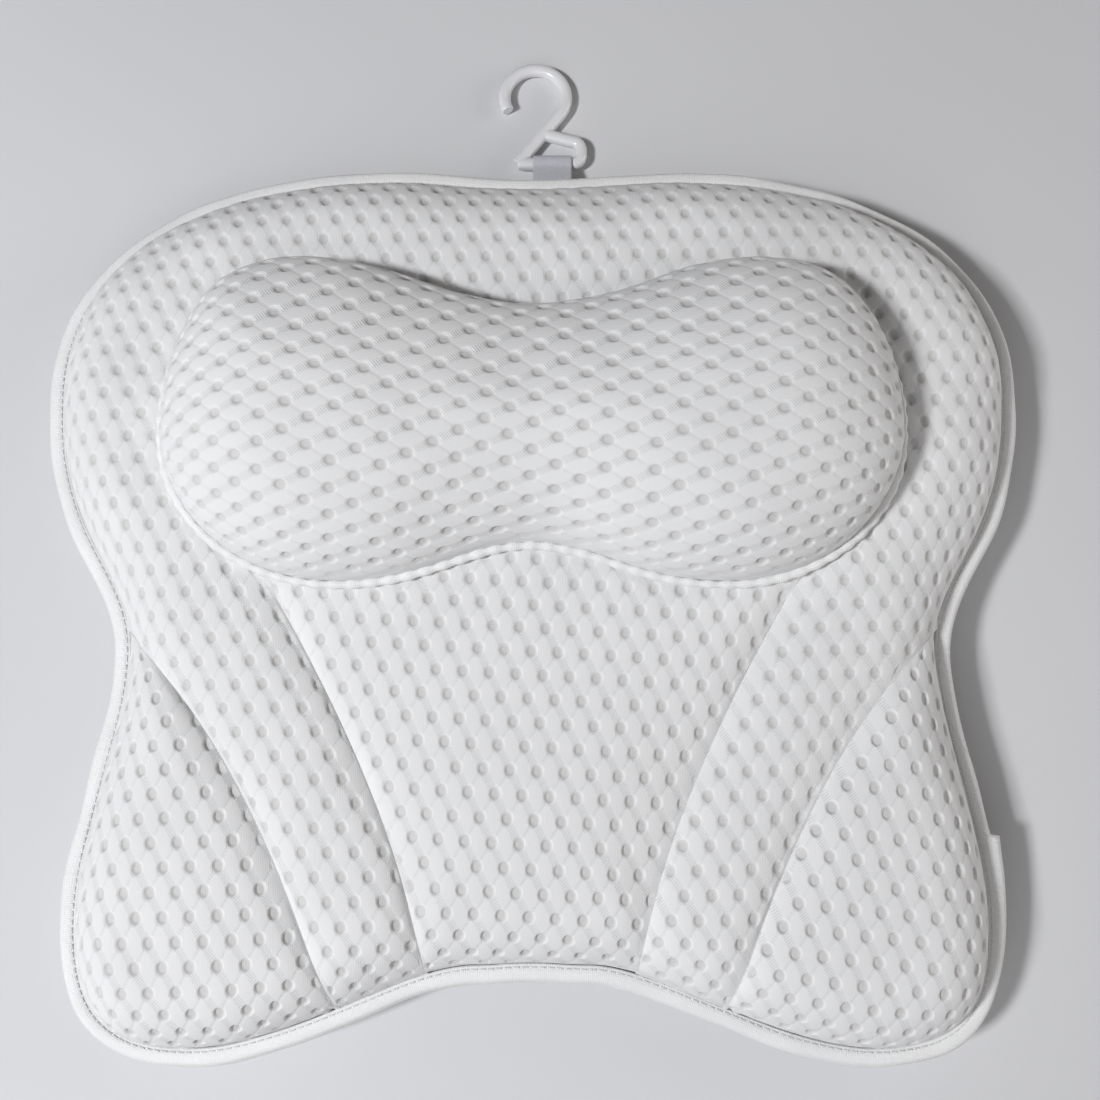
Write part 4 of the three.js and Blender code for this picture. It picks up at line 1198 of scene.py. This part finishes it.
class SewBack(bpy.types.Operator):
    """Cuts the flat mesh back with a hole for each eyelet"""

    bl_idname = "bath_pillow.sew_back"
    bl_label = "Sew the back"

    def execute(self, context):
        settings = context.scene.bath_pillow
        cups = settings.cups
        curves = PlanCurves(settings)
        edge = resampled(closed(curves.cut), 420)[:-1] + curves.shift
        hole_radius = cups.neck + 2 * cups.clearance + cups.eyelet_wall
        turn = np.linspace(0, 2 * np.pi, 40, endpoint=False)
        circle = hole_radius * np.stack([np.cos(turn), np.sin(turn)], axis=1)
        rings = [edge] + [middle + circle for middle in cup_middles()]
        spots = self.knit_points(edge, rings, settings.mesh)
        plan, faces = self.filled(rings, spots)
        relief = knit_relief(plan, settings.mesh)
        from_rings = np.min([nearest(plan, closed(ring))[0] for ring in rings], axis=0)
        opened = smooth((from_rings - 1.5 * MM) / (5 * MM))
        sag = 0.25 * MM * unevenness(plan, 0.09, 3) * opened
        bottom = cups.back - relief * 0.55 * opened + sag
        top = np.full(len(plan), cups.back + cups.back_thickness)
        mesh = self.closed_sheet(plan, faces, bottom, top, rings)
        paint_cloth(mesh, np.concatenate([plan, plan]), np.concatenate([opened, np.zeros(len(plan))]))
        material = air_mesh_finish("back air mesh", settings.mesh)
        piece = add_piece("back_sheet", mesh, material, "pillow", ("back_panel",))
        return {"FINISHED"}

    def knit_points(self, edge, rings, mesh):
        """Points for the sheet, close round each hole of the knit and sparse between"""
        low, high = edge.min(0), edge.max(0)
        turn = np.linspace(0, 2 * np.pi, 9, endpoint=False)
        ring = np.stack([np.cos(turn) * mesh.hole_width / 2, np.sin(turn) * mesh.hole_height / 2], axis=1)
        around = np.concatenate([[(0, 0)], ring * 0.62, ring * 1.2])
        between = np.array([(0.5, 0.0), (0.5, 0.36), (0.5, -0.36)]) * np.array([mesh.pitch, mesh.row])
        cell = np.concatenate([around, between])
        spots = []
        for j in range(int(low[1] / mesh.row) - 1, int(high[1] / mesh.row) + 2):
            for i in range(int(low[0] / mesh.pitch) - 1, int(high[0] / mesh.pitch) + 2):
                spots.append(cell + np.array([(i + 0.5 * (j % 2)) * mesh.pitch, j * mesh.row]))
        spots = np.concatenate(spots)
        keep = inside(spots, edge)
        for loop in rings:
            keep &= nearest(spots, closed(loop))[0] > 0.9 * MM
        for loop in rings[1:]:
            keep &= ~inside(spots, loop)
        return spots[keep]

    def filled(self, rings, spots):
        """Triangles between the sheet's edge and its holes"""
        points = np.concatenate([*rings, spots])
        edges, start = [], 0
        for ring in rings:
            count = len(ring)
            edges += [(start + k, start + (k + 1) % count) for k in range(count)]
            start += count
        found, _, faces, *_ = delaunay_2d_cdt([tuple(p) for p in points], edges, [], 0, 1e-7)
        plan = np.array([tuple(p) for p in found])
        middles = np.array([plan[list(face)].mean(0) for face in faces])
        keep = inside(middles, rings[0])
        for ring in rings[1:]:
            keep &= ~inside(middles, ring)
        return plan, [list(face) for face, kept in zip(faces, keep) if kept]

    def closed_sheet(self, plan, faces, bottom, top, rings):
        """A closed sheet with walls along its edge and its holes"""
        count = len(plan)
        seen = {}
        for face in faces:
            for a, b in zip(face, face[1:] + face[:1]):
                seen[(a, b)] = True
        walls = [[a, b, b + count, a + count] for a, b in seen if (b, a) not in seen]
        points = np.concatenate([np.column_stack([plan, bottom]), np.column_stack([plan, top])])
        under = [face[::-1] for face in faces]
        over = [[index + count for index in face] for face in faces]
        return mesh_of("back_sheet", points, under + over + walls)


def cup_middles():
    """Middles of the six cups in plan"""
    boxes = [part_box(f"suction_cup_{k}") for k in range(1, 7)]
    return [np.array([(low.x + high.x) / 2, (low.y + high.y) / 2]) for low, high in boxes]


class MouldCups(bpy.types.Operator):
    """Moulds the suction cups and the eyelets that hold their necks"""

    bl_idname = "bath_pillow.mould_cups"
    bl_label = "Mould cups and eyelets"

    def execute(self, context):
        cups = context.scene.bath_pillow.cups
        vinyl = vinyl_finish("clear vinyl", tuple(cups.vinyl))
        white = moulded_finish("eyelet plastic", tuple(cups.white), 0.35)
        for k, middle in enumerate(cup_middles(), 1):
            cup = turned(f"suction_cup_{k}_moulding", self.cup_profile(cups), middle)
            add_piece(cup.name, cup, vinyl, f"cup_{k}", (f"suction_cup_{k}",))
            ring = turned(f"eyelet_{k}_ring", self.eyelet_profile(cups), middle)
            add_piece(ring.name, ring, white, "pillow", (f"eyelet_{k}",))
        return {"FINISHED"}

    def levels(self, cups):
        """Lower face of the eyelet and underside of the cup's head"""
        eyelet_base = cups.back - cups.clearance - cups.plate
        head_base = cups.back + cups.back_thickness + 2 * cups.clearance + cups.plate
        return eyelet_base, head_base

    def cup_profile(self, cups):
        """Head, neck, flared wall, rim and hollow of a cup"""
        eyelet_base, head_base = self.levels(cups)
        shoulder = eyelet_base - cups.clearance
        middle = (cups.shoulder + cups.rim) / 2
        head_top = head_base + cups.head_height
        outside = [
            (0, head_top - 0.6 * MM), (0.45 * cups.head, head_top - 0.4 * MM), (0.6 * cups.head, head_top),
            (cups.head, head_top), (cups.head, head_base), (cups.neck, head_base), (cups.neck, shoulder),
            (cups.shoulder, shoulder), (middle, shoulder * 0.55), (cups.rim, cups.lip), (cups.rim, 0),
            (cups.rim - cups.rim_width, 0), (middle - cups.lip, cups.hollow * 0.6),
            (cups.shoulder / 2, cups.hollow), (0, cups.hollow),
        ]
        return rounded(outside, 1.1 * MM)

    def eyelet_profile(self, cups):
        """Barrel and two flanges of an eyelet, with eased edges"""
        eyelet_base, _ = self.levels(cups)
        top = cups.back + cups.back_thickness + cups.clearance + cups.plate
        bore = cups.neck + cups.clearance
        barrel = bore + cups.eyelet_wall
        corners = [
            (bore, eyelet_base), (cups.eyelet, eyelet_base), (cups.eyelet, eyelet_base + cups.plate),
            (barrel, eyelet_base + cups.plate), (barrel, top - cups.plate), (cups.eyelet, top - cups.plate),
            (cups.eyelet, top), (bore, top),
        ]
        return rounded(corners, 0.45 * MM, 3, True)


def bar_middle(settings):
    """The hook's bar in the frame: its middle, and how far the hook leans down to the floor"""
    hook = settings.hook
    curves = PlanCurves(settings)
    bend_y = settings.pad.crest[1] - settings.pad.top_dip
    level = hook.eye + hook.floor_gap
    middle = np.array([hook.tab_x, bend_y + hook.tab_reach + curves.shift[1], level])
    lean = -math.asin((level - hook.bar / 2 - 0.3 * MM) / (hook.crook[1] + hook.crook_radius))
    return middle, lean


class SewTab(bpy.types.Operator):
    """Folds the ribbon round the hook's bar and sews it behind the edge"""

    bl_idname = "bath_pillow.sew_tab"
    bl_label = "Sew the ribbon tab"

    def execute(self, context):
        settings = context.scene.bath_pillow
        hook = settings.hook
        path = self.fold(settings)
        travelled = along(path)
        spread = np.linspace(-0.5, 0.5, 25) * hook.tab_width
        way = np.gradient(path, axis=0)
        way /= np.linalg.norm(way, axis=1, keepdims=True)
        out = np.stack([-way[:, 1], way[:, 0]], axis=1)
        faces_of_cloth = []
        for side in (0.5, -0.5):
            lift = side * hook.ribbon * (1 - 0.35 * (np.abs(spread) / spread[-1]) ** 12)
            line = path[:, None] + lift[None, :, None] * out[:, None]
            x = np.broadcast_to(hook.tab_x + spread, line.shape[:2])
            faces_of_cloth.append(np.concatenate([x[..., None], line], axis=-1))
        over, under = faces_of_cloth
        section = np.concatenate([over, under[:, ::-1]], axis=1)
        rows, count = section.shape[:2]
        index = np.arange(rows * count).reshape(rows, count)
        quads = np.stack(
            [index[:-1], np.roll(index[:-1], -1, axis=1), np.roll(index[1:], -1, axis=1), index[1:]], axis=-1
        )
        faces = quads.reshape(-1, 4).tolist() + [index[0][::-1].tolist(), index[-1].tolist()]
        mesh = mesh_of("ribbon_tab", section.reshape(-1, 3), faces)
        across = np.concatenate([spread, spread[::-1]])
        cloth = np.stack(np.broadcast_arrays(across[None], travelled[:, None]), axis=-1)
        paint_cloth(mesh, cloth, np.zeros(cloth.shape[:2]))
        material = ribbon_finish("grey ribbon", tuple(hook.grey))
        ribbon = add_piece("ribbon_tab", mesh, material, "pillow", ("hanging_tab",))
        return {"FINISHED"}

    def fold(self, settings):
        """The ribbon's middle line seen from the side as (y, z): out, round the bar and back"""
        hook = settings.hook
        middle, _ = bar_middle(settings)
        radius = hook.eye - hook.ribbon / 2
        bend = np.array([middle[1] - hook.tab_reach, hook.tab_level])
        gap = np.array([0, 0.55 * hook.ribbon])
        root = bend - np.array([hook.tab_root, 0])
        fall = math.atan2(middle[2] - bend[1], middle[1] - bend[0])
        turn = np.linspace(fall + 0.86 * np.pi, fall - 0.86 * np.pi, 40)
        eye = middle[1:] + radius * np.stack([np.cos(turn), np.sin(turn)], axis=1)
        line = np.concatenate([[root + gap, bend + gap], eye, [bend - gap, root - gap]])
        soft = resampled(line, 110)
        for _ in range(6):
            soft[1:-1] = (soft[:-2] + 2 * soft[1:-1] + soft[2:]) / 4
        return soft


class MouldHook(bpy.types.Operator):
    """Moulds the hook: a bar in the ribbon, a closed loop, a stem and a round crook"""

    bl_idname = "bath_pillow.mould_hook"
    bl_label = "Mould the hook"

    def execute(self, context):
        settings = context.scene.bath_pillow
        hook = settings.hook
        stem, loop = self.lines(hook)
        turn = np.linspace(0, 2 * np.pi, 24, endpoint=False)
        half = hook.bar / 2
        flat = np.sign(np.sin(turn)) * np.abs(np.sin(turn)) ** 0.8
        section = half * np.stack([np.cos(turn), 0.98 * flat], axis=1)
        bars = joined([bar_between(stem, section), bar_between(loop, section)])
        mesh = self.grown_together(mesh_of("hook_bars", *bars))
        middle, lean = bar_middle(settings)
        cos, sin = math.cos(lean), math.sin(lean)
        places = np.zeros(len(mesh.vertices) * 3, np.float32)
        mesh.vertices.foreach_get("co", places)
        x, y, z = places.reshape(-1, 3).T
        places = np.stack([x, cos * y - sin * z, sin * y + cos * z], axis=1) + middle
        mesh.vertices.foreach_set("co", places.astype(np.float32).ravel())
        material = moulded_finish("hook plastic", tuple(hook.plastic), 0.22)
        add_piece("hanging_hook", mesh, material, "hook", ("hook",))
        return {"FINISHED"}

    def lines(self, hook):
        """Middle lines of the stem with its crook, and of the bar with its loop, about the bar's middle"""
        half, clear = hook.bar / 2, hook.tab_width / 2 + 0.3 * MM
        corner_of_ribbon = np.array([-clear, hook.eye])
        crook = np.array(hook.crook)
        to_crook = crook - corner_of_ribbon
        turn = math.asin((hook.crook_radius + half) / np.linalg.norm(to_crook))
        lean = math.atan2(to_crook[1], to_crook[0]) - turn
        corner = np.array([-clear - half / math.sin(lean) - hook.eye / math.tan(lean), 0])
        reach = math.sqrt(np.sum((crook - corner) ** 2) - hook.crook_radius**2)
        direction = np.array([math.cos(lean), math.sin(lean)])
        sweep = np.linspace(lean - np.pi / 2, hook.tip_angle, 70)
        arc = crook + hook.crook_radius * np.stack([np.cos(sweep), np.sin(sweep)], axis=1)
        start = corner - 0.1 * half * direction
        straight = corner + 0.98 * reach * np.linspace(0, 1, 20)[1:, None] * direction
        stem = np.concatenate([[start], straight, arc])
        bend_x = clear + max(hook.bend, half) - hook.bend
        quarter = np.linspace(0, np.pi / 2, 9)
        circle = hook.bend * np.stack([np.cos(quarter), np.sin(quarter)], axis=1)
        low = np.array([bend_x, hook.bend]) + circle[::-1] * np.array([1, -1])
        high = np.array([bend_x, hook.leg - hook.bend]) + circle
        arm = corner + direction * hook.arm / math.sin(lean)
        loop = np.concatenate([[corner], [(0, 0)], low, high, [arm]])
        lines = [resampled(stem, 120), resampled(loop, 90)]
        return [np.column_stack([line, np.zeros(len(line))]) for line in lines]

    def grown_together(self, bars):
        """The bars grown together into one moulding with soft inner corners and round ends"""
        piece = bpy.data.objects.new("hook_bars", bars)
        bpy.context.scene.collection.objects.link(piece)
        remesh = piece.modifiers.new("weld", "REMESH")
        remesh.mode = "VOXEL"
        remesh.voxel_size = 0.32 * MM
        ease = piece.modifiers.new("ease", "SMOOTH")
        ease.factor = 0.5
        ease.iterations = 8
        mesh = bpy.data.meshes.new_from_object(piece.evaluated_get(bpy.context.evaluated_depsgraph_get()))
        bpy.data.objects.remove(piece)
        mesh.name = "hanging_hook"
        return mesh


class LightStage(bpy.types.Operator):
    """Sets the floor, the lamps and the camera"""

    bl_idname = "bath_pillow.light_stage"
    bl_label = "Light the stage"

    def execute(self, context):
        stage = context.scene.bath_pillow.stage
        self.floor(stage)
        self.lamps(context.scene, stage)
        camera = bpy.data.cameras.new("camera")
        camera.angle = stage.view_angle
        holder = bpy.data.objects.new("camera", camera)
        holder.location = stage.eye
        holder.rotation_euler = (stage.tilt, 0, 0)
        context.scene.collection.objects.link(holder)
        context.scene.camera = holder
        context.scene.view_settings.view_transform = "Standard"
        return {"FINISHED"}

    def floor(self, stage):
        """A wide pale floor under the pillow"""
        half = 2.5
        corners = [(-half, -half, 0), (half, -half, 0), (half, half, 0), (-half, half, 0)]
        mesh = mesh_of("floor", corners, [(0, 1, 2, 3)])
        f = Finish("floor paper")
        cloud = f.noise(f.object_places(), 3.0)
        tone = f.blend(f.step(cloud, 0.3, 0.7), tuple(c * 0.97 for c in stage.floor), tuple(stage.floor))
        mesh.materials.append(f.surface(tone, roughness=0.8))
        floor = bpy.data.objects.new("floor", mesh)
        bpy.context.scene.collection.objects.link(floor)

    def lamps(self, scene, stage):
        """A window-like lamp on the left, a broad lamp before the pillow, a low reflector on the right"""
        self.lamp(scene, "window", (-0.98, -0.37, 1.40), 0.22, stage.key_power, (0.965, 0.975, 1.0))
        self.lamp(scene, "broad lamp", (-0.30, -0.90, 1.00), 0.80, stage.front_power, (0.98, 0.98, 1.0))
        self.lamp(scene, "reflector", (1.40, 0.25, 0.35), 0.90, stage.side_power, (1.0, 0.97, 0.95))
        world = bpy.data.worlds.new("room")
        world.use_nodes = True
        sky = world.node_tree.nodes["Background"]
        sky.inputs["Color"].default_value = (1.0, 0.95, 0.92, 1)
        sky.inputs["Strength"].default_value = stage.fill
        scene.world = world

    def lamp(self, scene, name, spot, size, power, tone):
        """A square lamp that looks at the middle of the floor"""
        lamp = bpy.data.lights.new(name, "AREA")
        lamp.size, lamp.energy, lamp.color = size, power, tone
        holder = bpy.data.objects.new(name, lamp)
        holder.location = spot
        holder.rotation_euler = (-Vector(spot)).to_track_quat("-Z", "Y").to_euler()
        scene.collection.objects.link(holder)


class PillowPanel(bpy.types.Panel):
    """Lists the steps that build the bath pillow"""

    bl_idname = "VIEW3D_PT_bath_pillow"
    bl_label = "Bath pillow"
    bl_space_type = "VIEW_3D"
    bl_region_type = "UI"
    bl_category = "Bath pillow"

    def draw(self, context):
        for operator in STEPS:
            self.layout.operator(operator.bl_idname)


STEPS = [LightStage, SewFrontPanels, SewHeadrest, BindEdge, SewBack, MouldCups, MouldHook, SewTab]
SHAPES = [PadShape, HeadrestShape, AirMesh, EdgeTape, RibbonAndHook, CupsAndEyelets, StageSetup]
GROUPS = [*SHAPES, PillowSettings]


def register():
    for group in [*GROUPS, *STEPS, PillowPanel]:
        bpy.utils.register_class(group)
    bpy.types.Scene.bath_pillow = PointerProperty(type=PillowSettings)


def unregister():
    del bpy.types.Scene.bath_pillow
    for group in reversed([*GROUPS, *STEPS, PillowPanel]):
        bpy.utils.unregister_class(group)


def main():
    register()
    bpy.ops.bath_pillow.light_stage()
    bpy.ops.bath_pillow.sew_front_panels()
    bpy.ops.bath_pillow.sew_headrest()
    bpy.ops.bath_pillow.bind_edge()
    bpy.ops.bath_pillow.sew_back()
    bpy.ops.bath_pillow.mould_cups()
    bpy.ops.bath_pillow.mould_hook()
    bpy.ops.bath_pillow.sew_tab()


if __name__ == "__main__":
    main()
